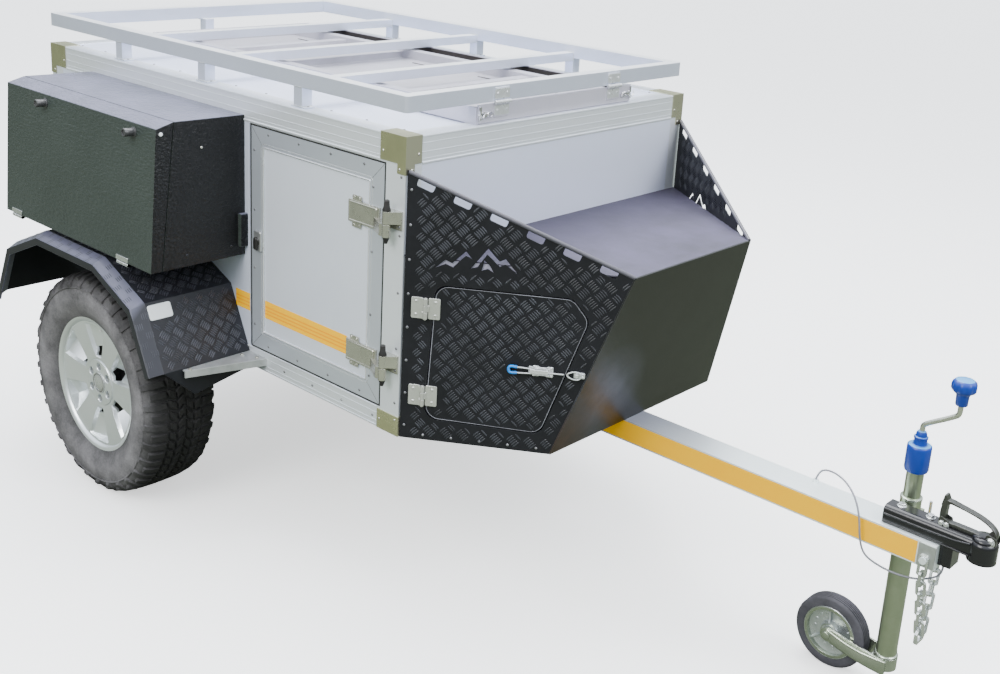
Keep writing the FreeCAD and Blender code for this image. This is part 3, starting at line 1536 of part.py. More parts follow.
def safety_chain():
    """Two strands of links from the drawbar's bolts to the ring that joins them."""
    bolt_top = rail_top - chain_bolt_drop + chain_bolt_radius
    middle = drawbar_half_width + chain_bolt_length / 2
    end_z = bolt_top - chain_end_drop
    links = []
    slacks = []
    for side in (-1, 1):
        top = at(chain_bolt_x, side * middle, bolt_top)
        joint = top - upward * chain_first_pitch
        links.append(link(top, joint, chain_link_width, chain_wire, left_way))
        end = at(chain_bolt_x + chain_end_forward, chain_end_y + side * chain_end_spread, end_z)
        slack = (chain_wire + chain_gap) / 2 * abs(end.y - joint.y) / (joint.z - end.z)
        start = joint + upward * slack
        step = (end - start) * (1 / chain_strand_links)
        for i in range(chain_strand_links):
            way = left_way if i % 2 else forward
            upper = start + step * i
            links.append(link(upper, upper + step, chain_link_width, chain_wire, way))
        slacks.append(slack)
    hook = at(chain_bolt_x + chain_end_forward, chain_end_y, end_z + max(slacks))
    inner = chain_ring_height - 2 * ring_wire
    links.append(link(hook, hook - upward * inner, chain_ring_width, ring_wire, forward))
    return links


def cable():
    """Cable along its route: straight runs joined by arcs that touch them."""
    points = [at(*p) for p in cable_route]
    edges = []
    radii = []
    start = points[0]
    for before, corner, after in zip(points, points[1:], points[2:]):
        back = (before - corner).normalize()
        ahead = (after - corner).normalize()
        half_turn = (math.pi - back.getAngle(ahead)) / 2
        reach = bend_share * min((before - corner).Length, (after - corner).Length)
        radius = reach / math.tan(half_turn)
        first = corner + back * reach
        last = corner + ahead * reach
        inward = (back + ahead).normalize()
        centre = corner + inward * (radius / math.cos(half_turn))
        edges.append(Part.LineSegment(start, first).toShape())
        edges.append(Part.Arc(first, centre - inward * radius, last).toShape())
        radii.append(round(radius, 1))
        start = last
    edges.append(Part.LineSegment(start, points[-1]).toShape())
    path = Part.Wire(edges)
    section = Part.Wire(Part.makeCircle(cable_radius, points[0], points[1] - points[0]))
    tube = path.makePipeShell([section], True, True)
    share = tube.Volume / (math.pi * cable_radius ** 2 * path.Length)
    print("cable length", round(path.Length, 1), "radii", radii, "volume share", round(share, 5))
    return tube


# lamps and number plate

def tail_lamp():
    """Lamp on the bottom frame's rear face."""
    z = body_bottom + (bottom_ring_height - lamp_height) / 2
    lamp = block(body_rear - lamp_depth, body_rear, -lamp_y - lamp_length / 2, -lamp_y + lamp_length / 2,
                 z, z + lamp_height)
    return rounded(lamp, forward, lamp_height / 5)


def number_plate():
    """Blank plate on the bottom frame's rear face, hanging below it."""
    z = body_bottom - number_plate_drop
    half = number_plate_length / 2
    sheet = block(body_rear - number_plate_gauge, body_rear, -half, half, z, z + number_plate_height)
    return rounded(sheet, forward, number_plate_height / 12)


save_pair("tyre", tyre())
save_pair("rim", rim())
save_pair("hub", hub())
save("axle_beam", axle_beam())
spring = leaf_spring()
save("leaf_springs", spring, mirrored(spring))
rail = chassis_rail()
save("chassis_rails", rail, mirrored(rail))
save("cross_members", *cross_members())
save("drawbar", drawbar())
save("safety_chain", *safety_chain())
save("cable", cable())

save("frame_bottom", ring(body_bottom, opening_bottom))
save("frame_top", ring(opening_top, body_top))
save("corner_posts", *corner_posts())
save("box_floor", box_floor())
save("roof_panel", roof_panel())
save_pair("side_panel", side_panel())
save("front_panel", front_panel())
save("corner_plates", *corner_plates())

save_pair("side_door", side_door())
save("rear_door", rear_door())
side_arms = [on_side(strap_arm(), z) for z in (lower_hinge_z, upper_hinge_z)]
save("door_arms_right", *side_arms)
save("door_arms_left", *[mirrored(a) for a in side_arms])
save("door_arms_rear", *[on_rear(strap_arm(), z) for z in (lower_hinge_z, upper_hinge_z)])
brackets = [on_side(strap_bracket(), z) for z in (lower_hinge_z, upper_hinge_z)]
rear_brackets = [on_rear(strap_bracket(), z) for z in (lower_hinge_z, upper_hinge_z)]
save("door_brackets", *brackets, *[mirrored(b) for b in brackets], *rear_brackets)

save_pair("nose_wing", nose_wing())
save_pair("nose_hatch", nose_hatch())
save("nose_deck", nose_deck())
save("nose_floor", nose_floor())
save("nose_front_panel", nose_front_panel())

save("rack_frame", rack_frame())
save("rack_crossbars", *rack_crossbars())
save("rack_posts", *rack_posts())
save("table_tray", table_tray())
save("stowed_table", stowed_table())
save("table_flap", table_flap())

save_pair("fender", fender())
stay = fender_stay()
save("fender_stays", stay, mirrored(stay))
save_pair("side_box", side_box())
save_pair("side_box_door", side_box_door())

save("coupler_body", coupler_body())
save("coupler_handle", coupler_handle())
save("jockey_clamp", jockey_clamp())
save("jockey_leg", jockey_leg())
save("jockey_grips", *jockey_grips())
save("jockey_crank", jockey_crank())
save("jockey_fork", jockey_fork())
save("jockey_wheel", jockey_wheel())
save("jockey_tyre", jockey_tyre())

lamp = tail_lamp()
save("tail_lamps", lamp, mirrored(lamp))
save("number_plate", number_plate())
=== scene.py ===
import math

import bmesh
import bpy
import numpy as np
from mathutils import Matrix, Vector


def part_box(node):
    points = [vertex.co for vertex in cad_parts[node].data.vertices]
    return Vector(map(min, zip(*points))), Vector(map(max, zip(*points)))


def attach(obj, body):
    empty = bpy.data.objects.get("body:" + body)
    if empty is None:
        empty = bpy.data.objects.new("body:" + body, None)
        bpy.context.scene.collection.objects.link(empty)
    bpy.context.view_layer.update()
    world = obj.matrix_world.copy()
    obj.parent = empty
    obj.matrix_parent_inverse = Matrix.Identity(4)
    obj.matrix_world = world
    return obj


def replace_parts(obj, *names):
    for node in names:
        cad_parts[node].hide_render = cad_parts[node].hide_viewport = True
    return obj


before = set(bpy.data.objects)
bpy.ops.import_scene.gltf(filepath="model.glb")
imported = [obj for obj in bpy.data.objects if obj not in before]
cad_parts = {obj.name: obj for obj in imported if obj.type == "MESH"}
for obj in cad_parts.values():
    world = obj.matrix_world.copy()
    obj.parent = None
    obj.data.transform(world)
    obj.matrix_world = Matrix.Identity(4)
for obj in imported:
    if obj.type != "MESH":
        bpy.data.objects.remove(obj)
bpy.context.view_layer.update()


# Camera at the trailer's right front corner, above head height and rolled a little to one side.
# Its lens and place come from the tyre's size and the lines of the box.
def shown(name, data):
    """Object that shows a camera, a light, a mesh or a curve in the scene."""
    made = bpy.data.objects.new(name, data)
    bpy.context.scene.collection.objects.link(made)
    return made


camera_place = Vector((2.6005, -2.8789, 2.1519))
azimuth, elevation, roll = (math.radians(angle) for angle in (40.7066, 16.3797, 3.5508))
level = Vector((math.cos(azimuth), math.sin(azimuth), 0))
away = Vector((math.sin(azimuth), -math.cos(azimuth), 0))
back = away * math.cos(elevation) + Vector((0, 0, math.sin(elevation)))
upright = back.cross(level)
across = level * math.cos(roll) + upright * math.sin(roll)
above = upright * math.cos(roll) - level * math.sin(roll)
lens = bpy.data.cameras.new("camera")
lens.lens, lens.sensor_width = 44.26, 36.0
lens.shift_x, lens.shift_y = -0.0306, -0.1043
camera = shown("camera", lens)
camera.matrix_world = Matrix.Translation(camera_place) @ Matrix((across, above, back)).transposed().to_4x4()
bpy.context.scene.camera = camera


# Studio: a pale floor and three soft boxes under a sky that is bright overhead and dim at the horizon.
# What the metal mirrors is a green yard, so the floor and sky that it sees are darker than the camera's.
def plug(node, inputs):
    """Set a node's inputs, by name or number: to numbers and colours, or to other nodes' outputs."""
    for key, value in inputs.items():
        if isinstance(value, bpy.types.NodeSocket):
            node.id_data.links.new(value, node.inputs[key])
        else:
            node.inputs[key].default_value = value
    return node


def add(tree, kind, inputs=None, **attributes):
    """New shader node in a tree, with its inputs and attributes."""
    node = tree.nodes.new("ShaderNode" + kind)
    for key, value in attributes.items():
        setattr(node, key, value)
    return plug(node, inputs or {})


def maths(tree, kind, *values, **attributes):
    """Output of a sum of one kind on its values."""
    return add(tree, "Math", dict(enumerate(values)), operation=kind, **attributes).outputs[0]


def blend(tree, share, near, far):
    """Colour between a near and a far one: their mean, weighted by the share."""
    return add(tree, "MixRGB", {0: share, 1: near, 2: far}).outputs[0]


def ramp(tree, value, stops):
    """Colour that a value picks between stops of (position, colour), the two end stops first."""
    node = add(tree, "ValToRGB", {0: value})
    elements = node.color_ramp.elements
    for k, (position, colour) in enumerate(stops):
        stop = elements[k] if k < 2 else elements.new(position)
        stop.position, stop.color = position, (*colour, 1)
    return node.outputs[0]


def soft_box(name, place, target, size, power, tint):
    """Square area light at a place, facing a target."""
    data = bpy.data.lights.new(name, "AREA")
    data.shape, data.size, data.energy, data.color = "SQUARE", size, power, tint
    aim = (Vector(target) - Vector(place)).to_track_quat("-Z", "Y")
    shown(name, data).matrix_world = Matrix.Translation(place) @ aim.to_matrix().to_4x4()


sky = bpy.data.worlds.new("sky")
sky.use_nodes = True
bpy.context.scene.world = sky
tree = sky.node_tree
tree.nodes.clear()
height = add(tree, "SeparateXYZ", {0: add(tree, "TexCoord").outputs["Generated"]}).outputs["Z"]
sky_tone = ramp(tree, height, ((0.0, (0.1, 0.115, 0.08)), (0.85, (0.86, 0.92, 1.0)),
    (0.12, (0.17, 0.19, 0.15)), (0.3, (0.5, 0.54, 0.58)), (0.55, (0.8, 0.85, 0.94))))
glow = add(tree, "Background", {"Color": sky_tone, "Strength": 2.3})
backdrop = add(tree, "Background", {"Color": (0.97, 0.975, 0.98, 1), "Strength": 6.5})
in_view = add(tree, "LightPath").outputs["Is Camera Ray"]
both = add(tree, "MixShader", {0: in_view, 1: glow.outputs[0], 2: backdrop.outputs[0]})
add(tree, "OutputWorld", {0: both.outputs[0]})

soft_box("box_right", (0.5, -5.5, 4.6), (-0.2, 0, 0.8), 3.0, 300, (1.0, 0.99, 0.96))
soft_box("box_front", (5.0, 0.5, 4.6), (0.6, 0, 0.9), 3.0, 260, (0.95, 0.97, 1.0))
soft_box("box_top", (-1.0, 0.8, 5.5), (0, 0, 1.0), 4.0, 420, (0.95, 0.97, 1.0))

floor_mesh = bpy.data.meshes.new("studio_floor")
reach = 40.0
floor_corners = [(-reach, -reach, 0), (reach, -reach, 0), (reach, reach, 0), (-reach, reach, 0)]
floor_mesh.from_pydata(floor_corners, [], [(0, 1, 2, 3)])
studio_floor = shown("studio_floor", floor_mesh)
floor_paint = bpy.data.materials.new("floor_paint")
floor_paint.use_nodes = True
tree = floor_paint.node_tree
in_view = add(tree, "LightPath").outputs["Is Camera Ray"]
floor_tone = blend(tree, in_view, (0.16, 0.175, 0.13, 1), (0.97, 0.97, 0.965, 1))
plug(tree.nodes["Principled BSDF"], {"Base Color": floor_tone, "Emission Strength": in_view,
    "Roughness": 0.95, "Emission Color": (1.0, 1.0, 1.0, 1.0), "Specular IOR Level": 0.1})
floor_mesh.materials.append(floor_paint)


# Finishes: every metal, paint and plastic of the trailer is one shader with its own values.
# It mottles the colour, lays a fine grain, rounds the edges, rubs them bright and settles dust on top.
def noise(tree, place, scale, detail, roughness=0.5):
    """Fractal noise at a place."""
    values = {"Vector": place, "Scale": scale, "Detail": detail, "Roughness": roughness}
    return add(tree, "TexNoise", values).outputs[0]


def ranged(tree, value, low, high, out_low, out_high):
    """Value carried in a straight line from one range to another, and held at the ends."""
    return add(tree, "MapRange", {0: value, 1: low, 2: high, 3: out_low, 4: out_high}).outputs[0]


def socketed(name, inputs, outputs):
    """Empty node group with named inputs (kind, default) and outputs: its tree, input and output node."""
    group = bpy.data.node_groups.new(name, "ShaderNodeTree")
    for label, (kind, value) in inputs.items():
        socket = group.interface.new_socket(label, in_out="INPUT", socket_type="NodeSocket" + kind)
        socket.default_value = value
    for label, kind in outputs.items():
        group.interface.new_socket(label, in_out="OUTPUT", socket_type="NodeSocket" + kind)
    return group, group.nodes.new("NodeGroupInput"), group.nodes.new("NodeGroupOutput")


white = (1.0, 1.0, 1.0, 1.0)
weathered, given, result = socketed("weathered", {"Colour": ("Color", white), "Worn": ("Color", white),
    "Edge": ("Color", white), "Dust": ("Color", white), "Edge Wear": ("Float", 0.3), "Edge Radius": ("Float",
    0.001), "Patch Size": ("Float", 4.0), "Patch Share": ("Float", 0.4),
    "Grain": ("Vector", (60.0, 60.0, 60.0)), "Grain Depth": ("Float", 0.0001), "Roughness": ("Float", 0.4),
    "Roughness Spread": ("Float", 0.15), "Dust Share": ("Float", 0.1)},
    {"Colour": "Color", "Roughness": "Float", "Normal": "Vector"})
tree, given = weathered, given.outputs
place = add(tree, "TexCoord").outputs["Object"]
patches = noise(tree, place, given["Patch Size"], 6.0, 0.62)
patch_mask = ranged(tree, patches, 0.36, 0.66, 0.0, given["Patch Share"])
toned = blend(tree, patch_mask, given["Colour"], given["Worn"])
stretched = add(tree, "VectorMath", {0: place, 1: given["Grain"]}, operation="MULTIPLY").outputs[0]
grain = noise(tree, stretched, 1.0, 3.0)
rounded = add(tree, "Bevel", {"Radius": given["Edge Radius"]}, samples=4).outputs[0]
bumped = add(tree, "Bump", {"Height": grain, "Distance": given["Grain Depth"], "Strength": 1.0,
    "Normal": rounded})
facing = add(tree, "NewGeometry").outputs["Normal"]
flatness = add(tree, "VectorMath", {0: rounded, 1: facing}, operation="DOT_PRODUCT").outputs["Value"]
edge_mask = ranged(tree, flatness, 0.995, 0.86, 0.0, given["Edge Wear"])
rub = maths(tree, "MULTIPLY", edge_mask, patches, use_clamp=True)
rubbed = blend(tree, rub, toned, given["Edge"])
upness = add(tree, "SeparateXYZ", {0: facing}).outputs["Z"]
settle = ranged(tree, upness, -0.6, 1.0, 0.25, 1.0)
dusting = maths(tree, "MULTIPLY", noise(tree, place, 22.0, 8.0, 0.7), settle)
dust_mask = maths(tree, "MULTIPLY", dusting, given["Dust Share"], use_clamp=True)
dusted = blend(tree, dust_mask, rubbed, given["Dust"])
swing = maths(tree, "SUBTRACT", patches, 0.5)
rough = maths(tree, "MULTIPLY_ADD", swing, given["Roughness Spread"], given["Roughness"], use_clamp=True)
dull = maths(tree, "MULTIPLY_ADD", dust_mask, 0.35, rough, use_clamp=True)
plug(result, {"Colour": dusted, "Roughness": dull, "Normal": bumped.outputs[0]})


def finish(name, colour, worn=None, edge=None, dust=(0.35, 0.32, 0.27), metallic=0.0, coat=0.0, specular=0.5,
        **values):
    """Material with the weathered group's colour, roughness and normal, and its own metal and coat.

    The worn tone stands in for a fifth less, and the edge for a third more, where they are not given."""
    made_of = bpy.data.materials.new(name)
    made_of.use_nodes = True
    tones = {"Colour": colour, "Worn": worn or [c * 0.8 for c in colour], "Edge": edge
        or [c * 1.3 for c in colour], "Dust": dust}
    inputs = {label: (*[min(c, 1.0) for c in tone], 1.0) for label, tone in tones.items()}
    inputs.update({label.replace("_", " ").title(): value for label, value in values.items()})
    group = plug(add(made_of.node_tree, "Group", node_tree=weathered), inputs).outputs
    plug(made_of.node_tree.nodes["Principled BSDF"], {"Base Color": group["Colour"],
        "Roughness": group["Roughness"], "Normal": group["Normal"], "Metallic": metallic,
        "Specular IOR Level": specular, "Coat Weight": coat, "Coat Roughness": 0.12})
    return made_of


def paint(material, *names):
    """Give CAD nodes a material in place of the plain one they came with."""
    for name in names:
        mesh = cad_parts[name].data
        mesh.materials.clear()
        mesh.materials.append(material)


# Breakaway cable: steel rope in a grey sheath, pressed into a gland on the drawbar's top.
# It loops over the drawbar's right side, under it and up into the coupler's tongue.
axle_x = -1.011
cable_diameter = 0.0055
cable_route = ((2.212, 0.036, 0.5688), (2.219, 0.035, 0.594), (2.242, 0.029, 0.612), (2.286, 0.009, 0.622),
    (2.336, -0.024, 0.622), (2.376, -0.052, 0.603), (2.398, -0.064, 0.562), (2.406, -0.065, 0.508),
    (2.42, -0.06, 0.464), (2.456, -0.05, 0.444), (2.506, -0.04, 0.434), (2.556, -0.028, 0.436),
    (2.592, -0.018, 0.45), (2.612, -0.013, 0.466), (2.618, -0.012, 0.485), (2.618, -0.012, 0.5017))
cable_curve = bpy.data.curves.new("breakaway_cable", "CURVE")
cable_curve.dimensions, cable_curve.resolution_u = "3D", 10
cable_curve.bevel_depth, cable_curve.bevel_resolution, cable_curve.use_fill_caps = cable_diameter / 2, 4, True
cable_line = cable_curve.splines.new("NURBS")
cable_line.points.add(len(cable_route) - 1)
for point, (x, y, z) in zip(cable_line.points, cable_route):
    point.co = (x + axle_x, y, z, 1.0)
cable_line.order_u, cable_line.use_endpoint_u = 3, True
cable_curve.materials.append(finish("cable_sheath", (0.2, 0.2, 0.235), (0.26, 0.26, 0.29), roughness=0.42,
    patch_size=30, grain=(500, 500, 500), grain_depth=0.00005, edge_wear=0))
breakaway_cable = shown("breakaway_cable", cable_curve)
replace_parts(breakaway_cable, "cable")
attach(breakaway_cable, "trailer")


# Tyres: 265 mm road tyres with a chunky off-road tread, in black rubber gone grey-brown with dust.
# The carcass is a moulded ring. The shoulder lugs wrap over its edge, and two rows of blocks run between.
def grid_faces(rows, columns, wrap=False):
    """Quads of a grid of points; a wrapped grid joins its last column to its first."""
    r, c = np.meshgrid(np.arange(rows - 1), np.arange(columns if wrap else columns - 1), indexing="ij")
    d = (c + 1) % columns
    quads = [r * columns + c, r * columns + d, (r + 1) * columns + d, (r + 1) * columns + c]
    return np.stack(quads, axis=-1).reshape(-1, 4)


def joined(*surfaces):
    """One surface from several, each a pair of points and list of faces."""
    points, faces, first = [], [], 0
    for corners, polygons in surfaces:
        points.append(corners)
        faces += [tuple(int(i) + first for i in polygon) for polygon in polygons]
        first += len(corners)
    return np.concatenate(points), faces


def moved(surface, place):
    """Surface with a place added to each of its points."""
    return surface[0] + place, surface[1]


def copies(surface, places, ways=None):
    """Copies of a small surface at places: each point is the sum of its three measures along three ways.

    The ways are one set of axes for all, or one for each copy, or else the world's."""
    corners, polygons = surface
    places = np.asarray(places, float).reshape(-1, 3)
    ways = np.broadcast_to(np.eye(3) if ways is None else ways, (len(places), 3, 3))
    points = places[:, None, :] + np.einsum("pk,nkd->npd", corners, ways)
    return joined(*[(copy, polygons) for copy in points])


def piece(name, surface, material, body="trailer", crease=30):
    """Shown piece: doubles are merged, faces turned outward, and edges above the crease angle stay sharp."""
    mesh = bpy.data.meshes.new(name)
    mesh.from_pydata(surface[0].tolist(), [], surface[1])
    work = bmesh.new()
    work.from_mesh(mesh)
    bmesh.ops.remove_doubles(work, verts=work.verts, dist=0.00001)
    bmesh.ops.recalc_face_normals(work, faces=work.faces)
    work.to_mesh(mesh)
    work.free()
    mesh.shade_smooth()
    mesh.set_sharp_from_angle(angle=math.radians(crease))
    mesh.materials.append(material)
    made = shown(name, mesh)
    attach(made, body)
    return made


def turned(profile, steps, axis="y"):
    """Profile of (radius, height) pairs turned about an axis, each point round a circle in even steps."""
    profile = np.asarray(profile, float)
    angle = np.arange(steps) * 2 * np.pi / steps
    ring = profile[:, :1]
    a, b, h = ring * np.cos(angle), ring * np.sin(angle), np.broadcast_to(profile[:, 1:],
        (len(profile), steps))
    stack = {"x": (h, a, b), "y": (b, h, a), "z": (a, b, h)}[axis]
    return np.stack(stack, axis=-1).reshape(-1, 3), grid_faces(len(profile), steps, wrap=True)


def smooth_line(corners, steps):
    """Rounded line through corners: Catmull-Rom curves, each point a cubic blend of four corners."""
    c = np.asarray(corners, float)
    c = np.concatenate([2 * c[:1] - c[1:2], c, 2 * c[-1:] - c[-2:-1]])
    t = (np.arange(steps) / steps)[:, None, None]
    a, b, d, e = c[:-3], c[1:-2], c[2:-1], c[3:]
    line = 0.5 * (2 * b + (d - a) * t + (2 * a - 5 * b + 4 * d - e) * t ** 2 + (3 * b - a - 3 * d + e)
        * t ** 3)
    return np.concatenate([line.transpose(1, 0, 2).reshape(-1, c.shape[1]), c[-2:-1]])


wheel_low, wheel_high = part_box("tyre_right")
wheel_radius = (wheel_high[2] - wheel_low[2]) / 2
wheel_y = (wheel_low[1] + wheel_high[1]) / 2
bead, tyre_half_width = (0.2292, 0.1045), 0.1322
carcass_corners = (bead, (0.2325, 0.1085), (0.24, 0.112), (0.252, 0.1178), (0.268, 0.1255), (0.29, 0.1312),
    (0.305, tyre_half_width), (0.323, 0.1303), (0.336, 0.1272), (0.3385, 0.13), (0.3415, 0.1298),
    (0.344, 0.1255), (0.356, 0.12), (0.366, 0.11), (0.3725, 0.092), (0.3762, 0.06), (0.3778, 0.0))
half_line = smooth_line(carcass_corners, 4)
carcass_line = np.concatenate([half_line, half_line[-2::-1] * (1, -1)])
carcass = turned(np.concatenate([carcass_line, [(bead[0], -bead[1])], [bead]]), 160)

# the lugs are set out on the tread: along its edge, and across it from the middle down to the shoulder
tread_line = half_line[36:][::-1]
tread_reach = np.concatenate([[0], np.cumsum(np.linalg.norm(np.diff(tread_line, axis=0), axis=1))])


def on_tread(along, outward, rise):
    """Place on the tread: an angle round the axle, a distance out from the middle line, and a rise off it."""
    away = np.abs(outward)
    radius, out = (np.interp(away, tread_reach, tread_line[:, k]) for k in (0, 1))
    ahead, behind = ([np.interp(away + step, tread_reach, tread_line[:, k]) for k in (0, 1)]
        for step in (0.002, -0.002))
    lean = np.arctan2(behind[0] - ahead[0], np.maximum(ahead[1] - behind[1], 1e-6))
    radius = np.minimum(radius + rise * np.cos(lean), wheel_radius - 0.0002)
    out = np.minimum(out + rise * np.sin(lean), tyre_half_width) * np.where(outward < 0, -1.0, 1.0)
    return np.stack([radius * np.sin(along), out, radius * np.cos(along)], axis=-1)


def tread_block(corners, height, cuts=(0.0, 0.1, 0.5, 0.9, 1.0)):
    """Raised block over four corners (angle, distance out): its rim at the groove, its top flat."""
    p, root_spread = np.asarray(corners, float), 1.042
    u, v = np.meshgrid(cuts, cuts, indexing="ij")
    shares = ((1 - u) * (1 - v), u * (1 - v), u * v, (1 - u) * v)
    plan = sum(share[..., None] * corner for share, corner in zip(shares, p))
    border = (u == 0) | (u == 1) | (v == 0) | (v == 1)
    middle = p.mean(axis=0)
    plan = np.where(border[..., None], middle + (plan - middle) * root_spread, plan)
    points = on_tread(plan[..., 0], plan[..., 1], np.where(border, -0.001, height))
    order = np.arange(u.size).reshape(u.shape)
    rim = np.concatenate([order[0, :], order[1:, -1], order[-1, -2::-1], order[-2:0:-1, 0]])
    return points.reshape(-1, 3), grid_faces(*u.shape).tolist() + [rim[::-1].tolist()]


def wheel_turns(step_count):
    """Axes turned about the axle in even steps."""
    a = np.arange(step_count) * 2 * np.pi / step_count
    zero, one = np.zeros_like(a), np.ones_like(a)
    return np.stack([np.stack([np.cos(a), zero, -np.sin(a)], -1), np.stack([zero, one, zero], -1),
        np.stack([np.sin(a), zero, np.cos(a)], -1)], axis=1)


# over two pitches of each side: a short and a long shoulder lug, and two leaning blocks in each middle row
pitches, tread_edge, lug_height = 64, tread_reach[-1], 0.0098
pitch = 2 * np.pi / pitches
lug_half = pitch * 0.33
blocks = []
for side in (-1, 1):
    start = 0.0 if side < 0 else pitch / 2
    for shift, end in ((start, tread_edge * 0.8), (start + pitch, tread_edge * 0.985)):
        lug = ((shift - lug_half, side * 0.064), (shift + lug_half * 0.8, side * 0.06),
            (shift + lug_half, side * end), (shift - lug_half * 0.9, side * end))
        blocks.append(tread_block(lug, lug_height, (0.0, 0.08, 0.5, 0.92, 1.0)))
    for row, (near, far, lean) in enumerate(((0.004, 0.027, 0.35), (0.032, 0.057, -0.3))):
        for half in (0, 1):
            centre = start + row * pitch + half * pitch
            tilt = lean * pitch
            block = ((centre - 0.4 * pitch - tilt, side * near), (centre + 0.36 * pitch - tilt, side * near),
                (centre + 0.42 * pitch + tilt * 0.5, side * far), (centre - 0.34 * pitch + tilt * 0.5,
                side * far))
            blocks.append(tread_block(block, lug_height - 0.0002 * row))
tread = joined(*[copies(block, np.zeros((pitches // 2, 3)), wheel_turns(pitches // 2)) for block in blocks])

# low bars moulded on the sidewall, in a ring of short strokes below the shoulder, with no lettering
stroke = turned([(0.0, 0.0), (0.0022, 0.0), (0.0016, 0.0009), (0.0, 0.0011)], 6)
stroke_count, stroke_radius = 96, 0.33
a = (np.arange(stroke_count) + 0.5) * 2 * np.pi / stroke_count
radial = np.stack([np.sin(a), np.zeros_like(a), np.cos(a)], -1)
circling = np.stack([np.cos(a), np.zeros_like(a), -np.sin(a)], -1)
strokes = []
for hand in (-1, 1):
    outward = np.broadcast_to(np.array([0, hand, 0.0]), radial.shape)
    ways = np.stack([circling, outward, radial * 2.2], axis=1)
    out = np.interp(stroke_radius, half_line[:, 0], half_line[:, 1])
    strokes.append(copies(stroke, radial * stroke_radius + outward * out, ways))

# dust lies thickest on the sidewall and thins out over the shoulder and the tread
road_rubber = bpy.data.materials.new("road_rubber")
road_rubber.use_nodes = True
tree = road_rubber.node_tree
where = add(tree, "TexCoord").outputs["Object"]
from_axle = add(tree, "Mapping", {0: where, 1: (-axle_x, 0, -wheel_radius)}).outputs[0]
flat = add(tree, "VectorMath", {0: from_axle, 1: (1, 0, 1)}, operation="MULTIPLY").outputs[0]
off_axle = add(tree, "VectorMath", {0: flat}, operation="LENGTH").outputs["Value"]
dust_levels = ((0.225, 0.35), (0.39, 0.05), (0.26, 0.75), (0.3, 1.0), (0.33, 0.9), (0.345, 0.52),
    (0.364, 0.34), (0.378, 0.1))
wall_dust = ramp(tree, off_axle, [(position, (level,) * 3) for position, level in dust_levels])
blotches = ranged(tree, noise(tree, where, 9.0, 7.0, 0.65), 0.3, 0.7, 0.28, 1.2)
fine = noise(tree, where, 160.0, 4.0, 0.7)
grit = ranged(tree, fine, 0.25, 0.75, 0.7, 1.2)
dusty = maths(tree, "MULTIPLY", maths(tree, "MULTIPLY", wall_dust, blotches), grit, use_clamp=True)
pores = add(tree, "Bump", {"Height": fine, "Distance": 0.0006, "Strength": 1.0}).outputs[0]
plug(tree.nodes["Principled BSDF"], {"Base Color": blend(tree, dusty, (0.01, 0.01, 0.01, 1),
    (0.215, 0.206, 0.216, 1)), "Normal": pores, "Roughness": 0.82, "Specular IOR Level": 0.35})
whole_tyre = joined(carcass, tread, *strokes)
for hand, y in (("right", wheel_y), ("left", -wheel_y)):
    shape = moved(whole_tyre, (axle_x, y, wheel_radius))
    road_tyre = piece("road_tyre_" + hand, shape, road_rubber, "wheel_" + hand, crease=38)
    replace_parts(road_tyre, "tyre_" + hand)


# Rims: cast alloy, lacquered silver, with six wide flat spokes and a V-shaped pocket between each two.
# Each pocket is open near the hub, its two facets meet in a valley, and it ends in a steep wall at the rim.
def polar(radius, angle, out):
    """Points of a wheel: radius and angle in the disc's plane, and a distance out along -y."""
    radius, angle, out = np.broadcast_arrays(radius, angle, out)
    return np.stack([radius * np.sin(angle), -out, radius * np.cos(angle)], axis=-1)


def walled(points, quads, thickness):
    """Sheet with a thickness: the surface, its copy moved in, and a wall at each edge of a single quad."""
    edges = np.concatenate([quads[:, [k, (k + 1) % 4]] for k in range(4)])
    _, first, count = np.unique(np.sort(edges, axis=1), axis=0, return_index=True, return_counts=True)
    rim = edges[first[count == 1]]
    n = len(points)
    walls = np.stack([rim[:, 1], rim[:, 0], rim[:, 0] + n, rim[:, 1] + n], axis=1)
    return np.concatenate([points, points + (0, thickness, 0)]), np.concatenate([quads, quads[:, ::-1] + n,
        walls])


def other_side(surface):
    """The same surface on the trailer's left: y changes its sign."""
    corners, polygons = surface
    return corners * (1, -1, 1), [polygon[::-1] for polygon in polygons]


def both_hands(name, surface, material, body="trailer", crease=30, stands_for=None):
    """The same piece on the trailer's right and left.

    The bodies and the CAD nodes that it stands for are named by hand too, apart from the trailer."""
    for hand, shape in (("right", surface), ("left", other_side(surface))):
        rides = body if body == "trailer" else f"{body}_{hand}"
        made = piece(f"{name}_{hand}", shape, material, rides, crease)
        if stands_for:
            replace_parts(made, f"{stands_for}_{hand}")


def on_wheel(surface):
    """A form built about the wheel's middle, set on the right wheel."""
    return moved(surface, (axle_x, wheel_y, wheel_radius))


spoke_count, face_out, rim_seat = 6, 0.0985, 0.2194
sector = 2 * np.pi / spoke_count
window_start, window_end = 0.096, 0.126
# the spoke face is a little dished: it falls away from the rim towards the hub
rows_radius = np.array([0.08, 0.087, 0.0925, window_start, 0.112, window_end, 0.15, 0.175, 0.198, 0.2085,
    0.2125, 0.216, rim_seat])
face_rows = face_out - 0.0115 * (1 - (rows_radius - 0.08) / 0.14) ** 1.5
face_rows[0] -= 0.0015
half_pocket = np.interp(rows_radius, (0.0925, window_start, 0.13, 0.2085, rim_seat), (0.013, 0.018, 0.033,
    0.06, 0.0605))
valley_depth = np.interp(rows_radius, (0.0925, window_start, 0.112, window_end, 0.175, 0.2085, 0.2125),
    (0.0, 0.005, 0.04, 0.045, 0.039, 0.03, 0.0))
edge_angle = np.arcsin(np.minimum(half_pocket / rows_radius, 0.5))
